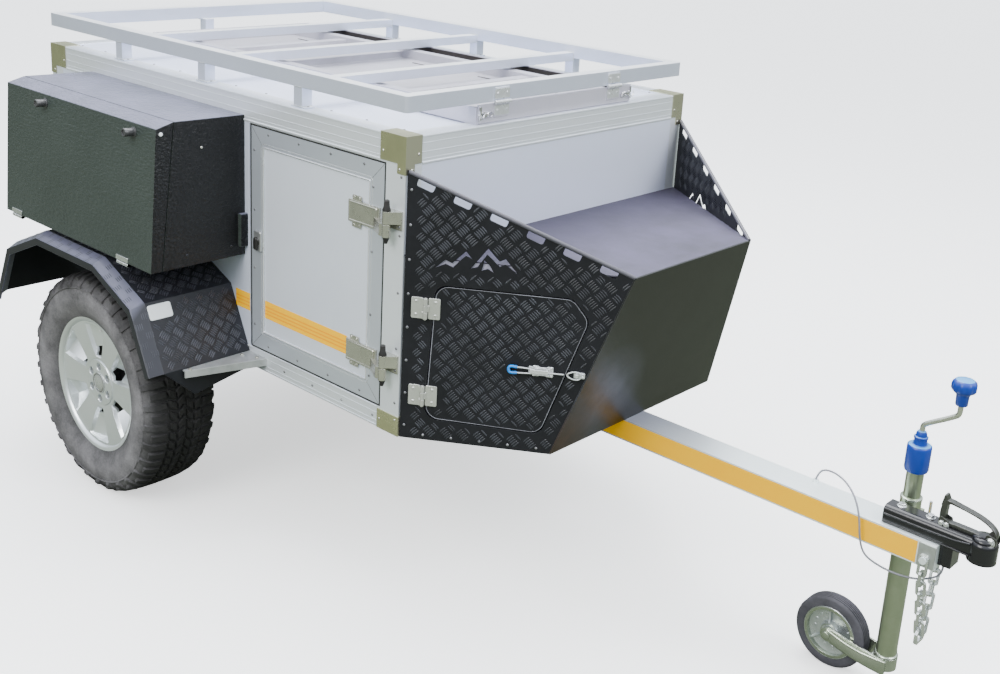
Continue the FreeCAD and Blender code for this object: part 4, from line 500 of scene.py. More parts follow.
# across half a sector: the valley, the window's edge, the pocket's edge, and the spoke's face
half_angle = np.stack([edge_angle * share for share in (0.0, 0.86, 0.985, 1.0)]
    + [edge_angle + (sector / 2 - edge_angle) * share for share in (0.06, 0.5, 1.0)], axis=1)
half_depth = valley_depth[:, None] * np.array((1.0, 0.3, 0.045, 0.0, 0.0, 0.0, 0.0))
sector_angle = np.concatenate([-half_angle[:, :0:-1], half_angle], axis=1)[:, :-1]
sector_depth = np.concatenate([half_depth[:, :0:-1], half_depth], axis=1)[:, :-1]
columns = sector_angle.shape[1]
ring_angle = (sector_angle[:, None] + np.arange(spoke_count)[:, None] * sector).reshape(len(rows_radius), -1)
ring_depth = np.tile(sector_depth, (1, spoke_count))
plate_points = polar(rows_radius[:, None], ring_angle, face_rows[:, None] - ring_depth)
plate_quads = grid_faces(len(rows_radius), spoke_count * columns, wrap=True)
row_of, column_of = plate_quads[:, 0] // (spoke_count * columns), plate_quads[:, 0] % columns
window_row = (rows_radius[row_of] >= window_start - 1e-6) & (rows_radius[row_of] < window_end - 1e-6)
in_window = window_row & (column_of >= columns // 2 - 1) & (column_of < columns // 2 + 1)
spokes = walled(plate_points.reshape(-1, 3), plate_quads[~in_window], 0.0085)

# the boss carries six nut pockets round a plain centre: each sixth of it is a plate with one round hole
boss_out, nut_circle, nut_hole, hole_steps = 0.0895, 0.0575, 0.0135, 24
turns = np.arange(hole_steps) * 2 * np.pi / hole_steps
square = np.stack([np.cos(turns), np.sin(turns)]) / np.maximum(abs(np.cos(turns)), abs(np.sin(turns)))
border_reach = np.where(square[1] > 0, 0.079 - nut_circle, nut_circle - 0.0375)
border = polar(nut_circle + square[1] * border_reach, square[0] * sector / 2, boss_out)


def hole_ring(radius, out):
    """Circle about a nut's middle."""
    return np.stack([radius * np.cos(turns), np.full(hole_steps, -out), nut_circle + radius * np.sin(turns)],
        axis=-1)


boss_rows = np.stack([border, hole_ring(nut_hole + 0.0015, boss_out), hole_ring(nut_hole, boss_out - 0.0015),
    hole_ring(nut_hole - 0.0008, boss_out - 0.017), hole_ring(0.0, boss_out - 0.017)])
boss_sector = boss_rows.reshape(-1, 3), grid_faces(5, hole_steps, wrap=True)
boss = copies(boss_sector, np.zeros((spoke_count, 3)), wheel_turns(spoke_count))
boss_step = turned(((0.0785, 0.0008 - boss_out), (0.079, -boss_out), (0.0797, 0.0009 - boss_out),
    (0.0801, -face_rows[0]), (0.0801, 0.008 - face_rows[0]), (0.0785, 0.008 - face_rows[0])), 72)
nut = turned(((0.0, 0.0), (0.0085, 0.0), (0.0085, -0.008), (0.0075, -0.0095), (0.0045, -0.0115),
    (0.0, -0.0122)), 6)
nuts = copies(nut, polar(nut_circle, np.arange(spoke_count) * sector, boss_out - 0.0165))
cap_line = ((0.0376, -0.003), (0.0376, 0.0), (0.036, 0.0036), (0.0335, 0.0042), (0.0322, 0.003),
    (0.0306, 0.0028), (0.029, 0.004), (0.018, 0.0066), (0.008, 0.0078), (0.0, 0.008))
cap = turned([(r, -boss_out - rise) for r, rise in cap_line], 48)
barrel_line = ((rim_seat, face_rows[-1]), (0.2205, 0.1), (0.2235, 0.1045), (0.23, 0.1085), (0.24, 0.1112),
    (0.2455, 0.1129), (0.2476, 0.1122), (0.2479, 0.1095), (0.2462, 0.1066), (0.24, 0.1056), (0.23, 0.1052),
    (0.2286, 0.1035), (0.2283, 0.08), (0.213, 0.06), (0.213, 0.02), (0.2283, 0.0), (0.2283, -0.1035),
    (0.23, -0.1052), (0.24, -0.1056), (0.2462, -0.1066), (0.2479, -0.1095), (0.2455, -0.1129),
    (0.24, -0.1112), (0.2235, -0.104), (0.22, -0.096), (0.22, -0.005), (0.206, 0.015), (0.206, 0.056),
    (0.211, 0.064), (0.218, 0.078), (rim_seat, face_rows[-1]))
barrel = turned([(r, -out) for r, out in barrel_line], 120)
drum = turned(((0.09, -0.03), (0.15, -0.03), (0.158, -0.024), (0.158, 0.025), (0.15, 0.025), (0.15, -0.02),
    (0.09, -0.022), (0.09, -0.03)), 64)
valve = turned(((0.0, 0.0), (0.0046, 0.0), (0.0046, -0.012), (0.0036, -0.0125), (0.0036, -0.026),
    (0.0026, -0.0275), (0.0, -0.028)), 12)
valve = moved(valve, polar(0.2015, math.radians(9), face_out - 0.028))


def finished(material):
    """A finish's node tree, its shader, its colour so far, and the place on the trailer."""
    tree = material.node_tree
    shader = tree.nodes["Principled BSDF"]
    return tree, shader, shader.inputs["Base Color"].links[0].from_socket, add(tree,
        "TexCoord").outputs["Object"]


def paint_shade_and_dust_deep(material, start, end, far_tone):
    """Paint shade and dust: blend a finish's colour into another, and take its metal away, with falling
    distance from the trailer's middle plane.
    """
    tree, shader, tone, where = finished(material)
    away = maths(tree, "ABSOLUTE", add(tree, "SeparateXYZ", {0: where}).outputs["Y"])
    share = ranged(tree, away, start, end, 0.0, 1.0)
    metal = ranged(tree, share, 0.0, 1.0, shader.inputs["Metallic"].default_value, 0.1)
    plug(shader, {"Base Color": blend(tree, share, tone, (*far_tone, 1.0)), "Metallic": metal})


alloy_silver = finish("alloy_silver", (0.8, 0.84, 0.86), (0.72, 0.755, 0.77), (0.95, 0.96, 0.97),
    metallic=0.75, coat=0.2, roughness=0.3, roughness_spread=0.1, patch_size=5, patch_share=0.5,
    grain=(900, 900, 900), grain_depth=0.00002, edge_radius=0.0007, edge_wear=0.35, dust_share=0.05)
# painted shade and brake dust darken everything behind the disc, on either side of the trailer
paint_shade_and_dust_deep(alloy_silver, 0.852, 0.834, (0.02, 0.019, 0.018))
cap_grey = finish("cap_grey", (0.58, 0.6, 0.6), (0.46, 0.48, 0.48), metallic=0.7, coat=0.4, roughness=0.25,
    patch_size=30, edge_radius=0.0006)
nut_steel = finish("nut_steel", (0.42, 0.42, 0.43), metallic=0.9, roughness=0.3, edge_radius=0.0004)
valve_metal = finish("valve_metal", (0.8, 0.8, 0.78), metallic=0.5, roughness=0.3)
# behind the disc a near-black cast drum round the hub shows through the pocket windows, put there as painted
# shade
hub_iron = finish("hub_iron", (0.02, 0.02, 0.022), (0.05, 0.04, 0.035), roughness=0.6, dust_share=0.2)
paint(hub_iron, "hub_right", "hub_left")
both_hands("shade_drum", on_wheel(drum), hub_iron, "wheel")
both_hands("rim_barrel", on_wheel(barrel), alloy_silver, "wheel", crease=40, stands_for="rim")
both_hands("rim_spokes", on_wheel(spokes), alloy_silver, "wheel", crease=9)
both_hands("rim_boss", on_wheel(joined(boss, boss_step)), alloy_silver, "wheel")
both_hands("wheel_nuts", on_wheel(nuts), nut_steel, "wheel", crease=20)
both_hands("centre_cap", on_wheel(cap), cap_grey, "wheel")
both_hands("valve", on_wheel(valve), valve_metal, "wheel")


# Drawbar and chassis: galvanised steel box sections, welded. Orange-yellow retroreflective tape runs along
# the drawbar's sides, and a plain zinc plate is bolted over each side of its front end.
def paint_light_along(material, way, start, end, far_tone, weight=1.0):
    """Paint light or shade: blend a finish's colour into another between two places along one axis of the
    frame.
    """
    tree, shader, tone, where = finished(material)
    along = add(tree, "SeparateXYZ", {0: where}).outputs[way]
    share = ranged(tree, along, start, end, 0.0, weight)
    plug(shader, {"Base Color": blend(tree, share, tone, (*far_tone, 1.0))})


drawbar_silver = finish("drawbar_silver", (0.52, 0.54, 0.64), (0.44, 0.46, 0.55), (0.9, 0.9, 0.92),
    metallic=0.45, roughness=0.34, patch_size=7, patch_share=0.8, grain=(20, 500, 500), grain_depth=0.00005,
    edge_wear=0.4, dust_share=0.05)
# painted highlight: the drawbar's colour pales to near white towards its front end
paint_light_along(drawbar_silver, "X", 0.62, 0.98, (0.92, 1.0, 1.0))
chassis_silver = finish("chassis_silver", (0.4, 0.42, 0.44), (0.3, 0.31, 0.32), metallic=0.5, roughness=0.42,
    patch_size=8, patch_share=0.8, dust_share=0.35)
axle_zinc = finish("axle_zinc", (0.1, 0.1, 0.105), (0.06, 0.058, 0.055), roughness=0.5, dust_share=0.5)
spring_black = finish("spring_black", (0.02, 0.02, 0.022), (0.06, 0.05, 0.04), roughness=0.5, dust_share=0.4,
    patch_share=0.6)
paint(drawbar_silver, "drawbar")
paint(chassis_silver, "chassis_rails", "cross_members")
paint(axle_zinc, "axle_beam")
paint(spring_black, "leaf_springs")


def along_unit(ways):
    """Each way scaled to a length of one."""
    return ways / np.linalg.norm(ways, axis=-1, keepdims=True)


def rectangle(a0, a1, b0, b1):
    """Corners of a rectangle, anticlockwise."""
    return np.array([(a0, b0), (a1, b0), (a1, b1), (a0, b1)], float)


def round_corners(corners, radius, steps=6):
    """Outline with each corner replaced by an arc of one radius, tangent to both its sides."""
    p = np.asarray(corners, float)
    back_way = along_unit(np.roll(p, 1, axis=0) - p)
    fore_way = along_unit(np.roll(p, -1, axis=0) - p)
    half = np.arccos(np.clip((back_way * fore_way).sum(axis=1), -1, 1)) / 2
    centre = p + along_unit(back_way + fore_way) * (radius / np.sin(half))[:, None]
    start, end = (p + way * (radius / np.tan(half))[:, None] - centre for way in (back_way, fore_way))
    first = np.arctan2(start[:, 1], start[:, 0])
    sweep = (np.arctan2(end[:, 1], end[:, 0]) - first + np.pi) % (2 * np.pi) - np.pi
    angle = first[:, None] + sweep[:, None] * np.linspace(0, 1, steps)
    return (centre[:, None] + radius * np.stack([np.cos(angle), np.sin(angle)], axis=-1)).reshape(-1, 2)


def inset(outline, amount):
    """Outline moved inwards along the bisector of each corner's two sides."""
    p = np.asarray(outline, float)
    way = along_unit(np.roll(p, -1, axis=0) - np.roll(p, 1, axis=0))
    turned_left = np.stack([-way[:, 1], way[:, 0]], axis=1)
    area = (p[:, 0] * np.roll(p[:, 1], -1) - np.roll(p[:, 0], -1) * p[:, 1]).sum()
    return p + turned_left * amount * np.sign(area)


def capped(rows, columns):
    """Faces of rings one above the other: quads between them, and one polygon over the first and the last."""
    last = (rows - 1) * columns
    ends = [list(range(columns))[::-1], list(range(last, last + columns))]
    return grid_faces(rows, columns, wrap=True).tolist() + ends


def plate_form(outline, rows, origin=(0, 0, 0), ways=None):
    """Closed plate: its outline carried up through rows of (inset, height) along the third way."""
    rings = [np.concatenate([inset(outline, amount), np.full((len(outline), 1), height)], axis=1)
        for amount, height in rows]
    return copies((np.concatenate(rings), capped(len(rows), len(outline))), [origin], ways)


def raised(outline, edge, chamfer, top, origin=(0, 0, 0), ways=None):
    """Plate standing on a face: square up to its edge's height, then drawn in by a chamfer to its top."""
    return plate_form(outline, ((0, 0.0), (0, edge), (chamfer, top)), origin, ways)


right_ways = np.array([(1.0, 0, 0), (0, 0, 1.0), (0, -1.0, 0)])
bar_face, bar_end = -0.048, 2.606 + axle_x


def tape_finish(name, rows):
    """Yellow retroreflective film: fine cells under a clear skin, darker lines along it, and a faint painted
    glow in its own colour.
    """
    yellow, amber, line_brown = (1.0, 0.53, 0.0), (1.0, 0.44, 0.0, 1), (0.75, 0.18, 0.0, 1)
    film = finish(name, yellow, (1.0, 0.49, 0.0), (1.0, 0.6, 0.0), roughness=0.5, specular=0.01,
        patch_size=9, patch_share=0.7, edge_wear=0.1, dust_share=0.04, grain=(900, 900, 900),
        grain_depth=0.00003)
    tree, shader, tone, where = finished(film)
    cells = add(tree, "TexVoronoi", {"Vector": where, "Scale": 420.0}).outputs["Distance"]
    tone = blend(tree, ranged(tree, cells, 0.2, 0.9, 0.0, 0.3), tone, amber)
    height = add(tree, "SeparateXYZ", {0: where}).outputs["Z"]
    for line in rows:
        gap = maths(tree, "ABSOLUTE", maths(tree, "SUBTRACT", height, line))
        tone = blend(tree, ranged(tree, gap, 0.0035, 0.0012, 0.0, 0.55), tone, line_brown)
    # painted glow: the film faintly emits its own colour
    plug(shader, {"Base Color": tone, "Emission Color": tone, "Emission Strength": 0.1})
    return film


tape_strip = plate_form(rectangle(1.5 + axle_x, 2.556 + axle_x, 0.4945, 0.5555), ((0, 0.0), (0, 0.0004)),
    (0, bar_face, 0), right_ways)
both_hands("drawbar_tape", tape_strip, tape_finish("bar_tape", ()))
end_zinc = finish("end_zinc", (0.5, 0.53, 0.52), (0.4, 0.42, 0.41), metallic=0.75, roughness=0.36,
    patch_size=30, patch_share=0.8, edge_wear=0.4, edge_radius=0.0006)
end_outline = round_corners(rectangle(2.56 + axle_x, bar_end + 0.0005, 0.4925, 0.5575), 0.003, 4)
end_plate = raised(end_outline, 0.0016, 0.0005, 0.002, (0, bar_face, 0), right_ways)
both_hands("drawbar_end_plate", end_plate, end_zinc)


# Box: a welded frame of extruded aluminium round riveted aluminium sheets, with stainless plates on its
# corners. The extrusions have lips and grooves along them, and screws hold the sheets to the sill.
def paint_light_facing(material, way, low, high, far_tone, weight=1.0, calm=0.65):
    """Paint light or shade: blend a finish's colour into another, in broken clouds, where its surface faces
    along an axis.
    """
    tree, shader, tone, where = finished(material)
    normal = add(tree, "NewGeometry").outputs["True Normal"]
    toward = add(tree, "SeparateXYZ", {0: normal}).outputs[way]
    clouds = ranged(tree, noise(tree, where, 6.0, 8.0, 0.7), 0.35, 0.62, calm, 1.0)
    share = maths(tree, "MULTIPLY", ranged(tree, toward, low, high, 0.0, weight), clouds)
    plug(shader, {"Base Color": blend(tree, share, tone, (*far_tone, 1.0))})


aluminium_sheet = finish("aluminium_sheet", (0.8, 0.85, 1.0), (0.74, 0.79, 0.96), metallic=0.35,
    roughness=0.4, patch_size=1.8, patch_share=0.6, grain=(900, 900, 14), grain_depth=0.00003,
    dust_share=0.05)
aluminium_frame = finish("aluminium_frame", (0.86, 0.9, 0.95), (0.77, 0.81, 0.87), (0.95, 0.96, 1.0),
    metallic=0.5, roughness=0.33, patch_size=2.6, patch_share=0.6, grain=(14, 900, 900), grain_depth=0.00004,
    edge_wear=0.5, dust_share=0.06)
stainless = finish("stainless", (0.61, 0.6, 0.37), (0.51, 0.5, 0.3), (0.9, 0.9, 0.8), metallic=0.9,
    roughness=0.27, patch_size=9, patch_share=0.9, edge_wear=0.8, grain=(30, 30, 800), grain_depth=0.00003)
# painted light: the corner plates' forward-facing faces take a greyer, less yellow tone
paint_light_facing(stainless, "X", 0.4, 0.9, (0.6, 0.58, 0.46), 0.9, 0.9)
paint(aluminium_sheet, "side_panel_right", "side_panel_left", "front_panel", "roof_panel", "box_floor")
paint(aluminium_frame, "frame_bottom", "frame_top", "corner_posts")
paint(stainless, "corner_plates")
front_ways = np.array([(0, 1.0, 0), (0, 0, 1.0), (1.0, 0, 0)])
rear_ways = np.array([(0, -1.0, 0), (0, 0, 1.0), (-1.0, 0, 0)])
box_rear, box_front, box_half = -0.677 + axle_x, 1.232 + axle_x, 0.648


def rib(a0, a1, b, width, proud):
    """Lip along an extrusion: a strip about height b with a chamfered top."""
    strip = rectangle(a0, a1, b - width / 2, b + width / 2)
    return plate_form(strip, ((0, -0.0003), (0, proud * 0.6), (proud * 0.4, proud)))


# each rib is (height, width, proud): the top frame's, then the sill's, which the nose box hides in front
side_ribs, end_ribs = [], []
end_half = box_half - 0.0605
for z, width, proud in ((1.3655, 0.006, 0.0026), (1.377, 0.0016, 0.0009), (1.396, 0.0016, 0.0009),
        (1.421, 0.0016, 0.0009), (1.4395, 0.005, 0.0016), (0.564, 0.005, 0.0016), (0.579, 0.0016, 0.001),
        (0.604, 0.0016, 0.001), (0.6235, 0.0048, 0.0024)):
    on_top = z > 1
    edge = 0.105 if on_top else 0.092
    side_rib = rib(box_rear + edge, box_front - edge, z, width, proud)
    side_ribs.append(copies(side_rib, [(0, -box_half, 0)], right_ways))
    end_rib = rib(-end_half, end_half, z, width, proud)
    end_ribs.append(copies(end_rib, [(box_rear, 0, 0)], rear_ways))
    if on_top:
        end_ribs.append(copies(end_rib, [(box_front, 0, 0)], front_ways))
frame_ribs = joined(*side_ribs, *[other_side(form) for form in side_ribs], *end_ribs)
piece("frame_ribs", frame_ribs, aluminium_frame, crease=20)


def box_round(a, b, half_a, half_b, turn=0.0):
    """Corners of a rectangle about (a, b), turned."""
    p = np.array([(-1, -1), (1, -1), (1, 1), (-1, 1)]) * (half_a, half_b)
    c, s = math.cos(turn), math.sin(turn)
    return p @ np.array([(c, s), (-s, c)]) + (a, b)


rivet = turned(((0.0, -0.0002), (0.0042, -0.0002), (0.0042, 0.0005), (0.0034, 0.0013), (0.0019, 0.0019),
    (0.0, 0.002)), 10, "z")
screw = turned(((0.0, -0.0002), (0.0042, -0.0002), (0.0042, 0.0004), (0.0036, 0.0016), (0.002, 0.0022),
    (0.0013, 0.0022), (0.001, 0.0012), (0.0, 0.0012)), 10, "z")
screw_steel = finish("screw_steel", (0.3, 0.3, 0.32), (0.16, 0.16, 0.17), metallic=0.8, roughness=0.35,
    patch_size=30, patch_share=1)
sill_z, post_x = 0.5905, box_front - 0.016
screw_places = [(x, -box_half, sill_z) for x in np.linspace(box_rear + 0.13, box_front - 0.11, 13)]
screw_places += [(post_x, -box_half, z) for z in np.linspace(0.66, 1.33, 5)]
both_hands("sill_screws", copies(screw, screw_places, right_ways), screw_steel, crease=60)

# corner plates: rivets at (distance in, height), and the plates at the rear are the front ones turned about
rivet_bright = finish("rivet_bright", (0.72, 0.71, 0.64), (0.5, 0.5, 0.44), metallic=0.9, roughness=0.25,
    patch_size=40, patch_share=0.6)
gauge = 0.0025
on_side = [(box_front - along, -box_half - gauge, z) for along, z in ((0.09, 1.392), (0.022, 1.35),
    (0.078, 0.59), (0.012, 0.608))]
on_front = [(box_front + gauge, -box_half + along, z) for along, z in ((0.046, 1.392), (0.022, 1.35),
    (0.047, 0.59), (0.012, 0.608))]
corner_rivets = joined(copies(rivet, on_side, right_ways), copies(rivet, on_front, front_ways))
behind = corner_rivets[0] * (-1, 1, 1) + (box_front + box_rear, 0, 0), [face[::-1]
    for face in corner_rivets[1]]
both_hands("corner_rivets", joined(corner_rivets, behind), rivet_bright, crease=60)

# tape on the wall behind the door, in line with the tape on the door
strip = plate_form(rectangle(0.452 + axle_x, 0.5265 + axle_x, 0.745, 0.803), ((0, 0.0), (0, 0.0004)),
    (0, -box_half, 0), right_ways)
both_hands("wall_tape", strip, tape_finish("wall_tape", (0.76, 0.7715, 0.783)))


# Doors: a mitred frame of anodised extrusion round a pale sheet, with a black seal in the gap and a lever
# latch. Screws run along the frame, and a bright bead holds the sheet's edge.
def pad(half_a, half_b, radius, steps):
    """Outline of a rectangle about the origin, with rounded corners."""
    return round_corners(box_round(0, 0, half_a, half_b), radius, steps)


def tube(line, radius, up, sides=10, ring=False):
    """Circle carried along a line, square to its direction; up is a way that the line never takes."""
    p = np.asarray(line, float)
    way = np.roll(p, -1, axis=0) - np.roll(p, 1, axis=0)
    if not ring:
        way[0], way[-1] = p[1] - p[0], p[-1] - p[-2]
    way = along_unit(way)
    side = along_unit(np.cross(way, up))
    other = np.cross(side, way)
    angle = np.arange(sides) * 2 * np.pi / sides
    radius = np.broadcast_to(np.asarray(radius, float), len(p))[:, None, None]
    points = p[:, None] + radius * (np.cos(angle)[:, None] * side[:, None] + np.sin(angle)[:, None]
        * other[:, None])
    if ring:
        points = np.concatenate([points, points[:1]])
        return points.reshape(-1, 3), grid_faces(len(points), sides, wrap=True)
    return points.reshape(-1, 3), capped(len(points), sides)


panel_white = finish("panel_white", (0.76, 0.8, 0.88), (0.7, 0.745, 0.84), metallic=0.25, roughness=0.36,
    patch_size=2.2, patch_share=0.7, grain=(900, 900, 12), grain_depth=0.00002, dust_share=0.04)
door_frame = finish("door_frame", (0.56, 0.6, 0.66), (0.49, 0.53, 0.59), (0.9, 0.92, 0.95), metallic=0.5,
    roughness=0.36, patch_size=3, patch_share=0.6, grain=(900, 900, 14), grain_depth=0.00004, edge_wear=0.5,
    dust_share=0.06)
door_bead = finish("door_bead", (0.84, 0.86, 0.9), metallic=0.6, roughness=0.25, patch_size=9)
seal_rubber = finish("seal_rubber", (0.012, 0.012, 0.013), (0.03, 0.03, 0.03), roughness=0.55, specular=0.3)
seam_dark = finish("seam_dark", (0.06, 0.06, 0.065), roughness=0.6)
latch_silver = finish("latch_silver", (0.58, 0.59, 0.6), (0.44, 0.45, 0.46), metallic=0.8, roughness=0.3,
    patch_size=20, edge_wear=0.5)
latch_black = finish("latch_black", (0.01, 0.01, 0.011), (0.02, 0.02, 0.02), roughness=0.34, specular=0.45)
paint(door_frame, "side_door_right", "side_door_left", "rear_door")
door_low, door_high, stile, latch_height = 0.633, 1.354, 0.059, 0.992


def door_parts(length, latch_at):
    """Parts of a door in (along, up, out), by name: each with its form, finish and slot."""
    a0, a1, b0, b1 = stile, length - stile, door_low + stile, door_high - stile
    gap, play = 0.0032, 0.0005
    loop = round_corners(rectangle(a0, a1, b0, b1), 0.004, 4)
    rim = round_corners(rectangle(-gap, length + gap, door_low - gap, door_high + gap), 0.004, 4)

    def round_rod(outline, height, radius, sides):
        """Rod laid along an outline at a height."""
        line = np.concatenate([outline, np.full((len(outline), 1), height)], axis=1)
        return tube(line, radius, (0, 0, 1.0), sides, ring=True)

    seams = []
    for corner_a, corner_b, way_a, way_b in ((0, door_low, 1, 1), (length, door_low, -1, 1),
            (0, door_high, 1, -1), (length, door_high, -1, -1)):
        reach = stile / 2 - 0.002
        mitre = box_round(corner_a + way_a * reach, corner_b + way_b * reach, stile / math.sqrt(2) - 0.004,
            0.0005, math.atan2(way_b, way_a))
        seams.append(plate_form(mitre, ((0, -0.0002), (0, 0.00025))))
    up_z = np.linspace(door_low + 0.075, door_high - 0.075, 4)
    over_a = np.linspace(0.085, length - 0.085, max(4, round(length / 0.15)))
    spots = [(a, z, 0.0) for a in (0.0145, length - 0.045) for z in up_z]
    spots += [(a, b, 0.0) for b in (door_low + 0.0165, door_high - 0.0165) for a in over_a]
    disc = turned(((0.0, 0.009), (0.0138, 0.009), (0.0138, 0.012), (0.0118, 0.0142), (0.0, 0.0146)), 24, "z")
    lever = plate_form(pad(0.0085, 0.02, 0.006, 6), ((0, 0.011), (0, 0.0165), (0.0022, 0.0195)),
        (latch_at, latch_height - 0.006, 0))
    sheet = rectangle(a0 + play, a1 - play, b0 + play, b1 - play)
    beads = round_rod(loop, -0.0004, 0.0026, 8), round_rod(inset(loop, -0.0105), -0.001, 0.0016, 6)
    return {"panel": (plate_form(sheet, ((0, -0.0041), (0, -0.0026))), panel_white, "box_aluminium"),
        "bead": (joined(*beads), door_bead, "box_aluminium"), "seal": (round_rod(rim, -0.0025, 0.0034, 8),
        seal_rubber, "wheel_rubber"), "seams": (joined(*seams), seam_dark, "box_aluminium"),
        "screws": (copies(screw, spots), screw_steel, "stainless"),
        "latch_plate": (raised(pad(0.0172, 0.0322, 0.0045, 5), 0.008, 0.0016, 0.0096,
        (latch_at, latch_height, 0)), latch_silver, "stainless"),
        "latch_lever": (joined(moved(disc, (latch_at, latch_height, 0)), lever), latch_black,
        "coupler_black")}


latch_in = 0.0385
for label, (form, finish_here, slot) in door_parts(0.61, latch_in).items():
    placed = copies(form, [(0.538 + axle_x, -box_half, 0)], right_ways)
    both_hands("door_" + label, placed, finish_here, "side_door", crease=25)
for label, (form, finish_here, slot) in door_parts(1.158, 1.158 - latch_in).items():
    placed = copies(form, [(box_rear, 0.579, 0)], rear_ways)
    piece("rear_door_" + label, placed, finish_here, "rear_door", crease=25)
door_strip = plate_form(rectangle(0.602 + axle_x, 0.9985 + axle_x, 0.742, 0.8), ((0, -0.0028), (0, -0.002)),
    (0, -box_half, 0), right_ways)
both_hands("door_tape", door_strip, tape_finish("door_tape", (0.757, 0.7685, 0.78)),
    "side_door")


# Strap hinges: pressed stainless straps and brackets on a long pin, closed by black rubber caps.
# A blank cover plate with a folded rim sits on each strap, and small feet hold it with two screws each.
hinge_stainless = finish("hinge_stainless", (0.6, 0.59, 0.52), (0.46, 0.46, 0.4), (0.95, 0.94, 0.88),
    metallic=0.9, roughness=0.26, patch_size=12, patch_share=0.9, grain=(30, 30, 700), grain_depth=0.00003,
    edge_wear=0.6, edge_radius=0.0012)
paint(hinge_stainless, "door_arms_right", "door_arms_left", "door_arms_rear", "door_brackets")
cap_low = turned(((0.0, -0.056), (0.0042, -0.056), (0.0052, -0.053), (0.0098, -0.04), (0.0112, -0.0372),
    (0.0, -0.0372)), 20, "z")
cap_high = turned(((0.0, 0.0372), (0.0112, 0.0372), (0.0122, 0.04), (0.0085, 0.052), (0.008, 0.0665),
    (0.0055, 0.069), (0.0, 0.0695)), 20, "z")
# in (along, up, out) about the pin: cover plate, feet and their screws, and the screws of the bracket
strap_out = -0.03
cover_rows = ((0, 0.003), (0, 0.008), (0.0012, 0.0092), (0.0042, 0.0092), (0.0052, 0.0078))
arm_dress = [plate_form(pad(0.06, 0.03, 0.0062, 5), cover_rows, (-0.1245, -0.0045, strap_out))]
for b, screw_b in ((0.0345, 0.0367), (-0.0435, -0.0457)):
    arm_dress.append(raised(pad(0.019, 0.0085, 0.0035, 5), 0.0022, 0.0005, 0.0026, (-0.156, b, strap_out)))
    arm_dress.append(copies(screw, [(a, screw_b, strap_out + 0.0025) for a in (-0.1675, -0.1445)]))
arm_dress = joined(*arm_dress)
bracket_dress = copies(screw, [(0.0265, b, strap_out + 0.006) for b in (0.0285, 0.0105, -0.0075)])
caps = joined(cap_low, cap_high)
side_pins = np.array([(1.193 + axle_x, -0.678, z) for z in (1.197, 0.771)])
rear_pins = np.array([(box_rear - 0.03, 0.624, z) for z in (1.197, 0.771)])
rear_hinge_ways = np.array([(0, 1.0, 0), (0, 0, 1.0), (-1.0, 0, 0)])
both_hands("hinge_cover", copies(arm_dress, side_pins, right_ways), hinge_stainless, "side_door")
piece("hinge_cover_rear", copies(arm_dress, rear_pins, rear_hinge_ways), hinge_stainless,
    "rear_door")
both_hands("hinge_screws", copies(bracket_dress, side_pins, right_ways), screw_steel, crease=60)
piece("hinge_screws_rear", copies(bracket_dress, rear_pins, rear_hinge_ways), screw_steel,
    crease=60)
both_hands("hinge_caps", copies(caps, side_pins), seal_rubber, crease=40)
piece("hinge_caps_rear", copies(caps, rear_pins + (0.0003, 0, 0)), seal_rubber, crease=40)


# Nose box: black-coated five-bar tread plate wings, a raked front and a level deck, folded and riveted
# together. Its bare edges and the tops of the tread bars are rubbed grey, and the deck is scuffed by loads,
# with a painted lavender sky sheen on its top and painted shade towards the box.
wing_foot = np.array([box_front, -box_half, 0.0])
wing_run, wing_taper = 0.535, 0.357
wing_length = math.hypot(wing_run, wing_taper)
wing_ways = np.array([(wing_run, wing_taper, 0), (0, 0, wing_length), (wing_taper, -wing_run,
    0)]) / wing_length
box_low, deck_z, wing_top = 0.56, 1.112, 1.354


def on_wing(u, z, lift=0.0):
    """Place on the right wing: u forward along the plate from the box, z up, and a lift off its face."""
    return wing_foot + np.stack(np.broadcast_arrays(np.asarray(u, float), z, lift), axis=-1) @ wing_ways


def within(points, outline):
    """Whether points (a, b) lie in an outline: a level ray from each crosses it an odd number of times."""
    p, q = np.asarray(outline, float), np.roll(outline, -1, axis=0)
    a, b = points[:, None, 0], points[:, None, 1]
    crosses = (p[:, 1] > b) != (q[:, 1] > b)
    rise = np.where(q[:, 1] == p[:, 1], 1e-12, q[:, 1] - p[:, 1])
    return (crosses & (a < p[:, 0] + (b - p[:, 1]) * (q[:, 0] - p[:, 0]) / rise)).sum(axis=1) % 2 == 1


# a tread bar is a low boat: pointed ends, a ridge along its top, and a flat underside on the sheet
bar_points = np.array([(-0.013, 0, 0), (-0.0065, 0.0024, 0), (0.0065, 0.0024, 0), (0.013, 0, 0),
    (0.0065, -0.0024, 0), (-0.0065, -0.0024, 0), (-0.0085, 0, 0.0012), (0.0085, 0, 0.0012)])
bar_faces = [(5, 4, 3, 2, 1, 0), (1, 2, 7, 6), (4, 5, 6, 7), (0, 1, 6), (5, 0, 6), (2, 3, 7), (3, 4, 7)]


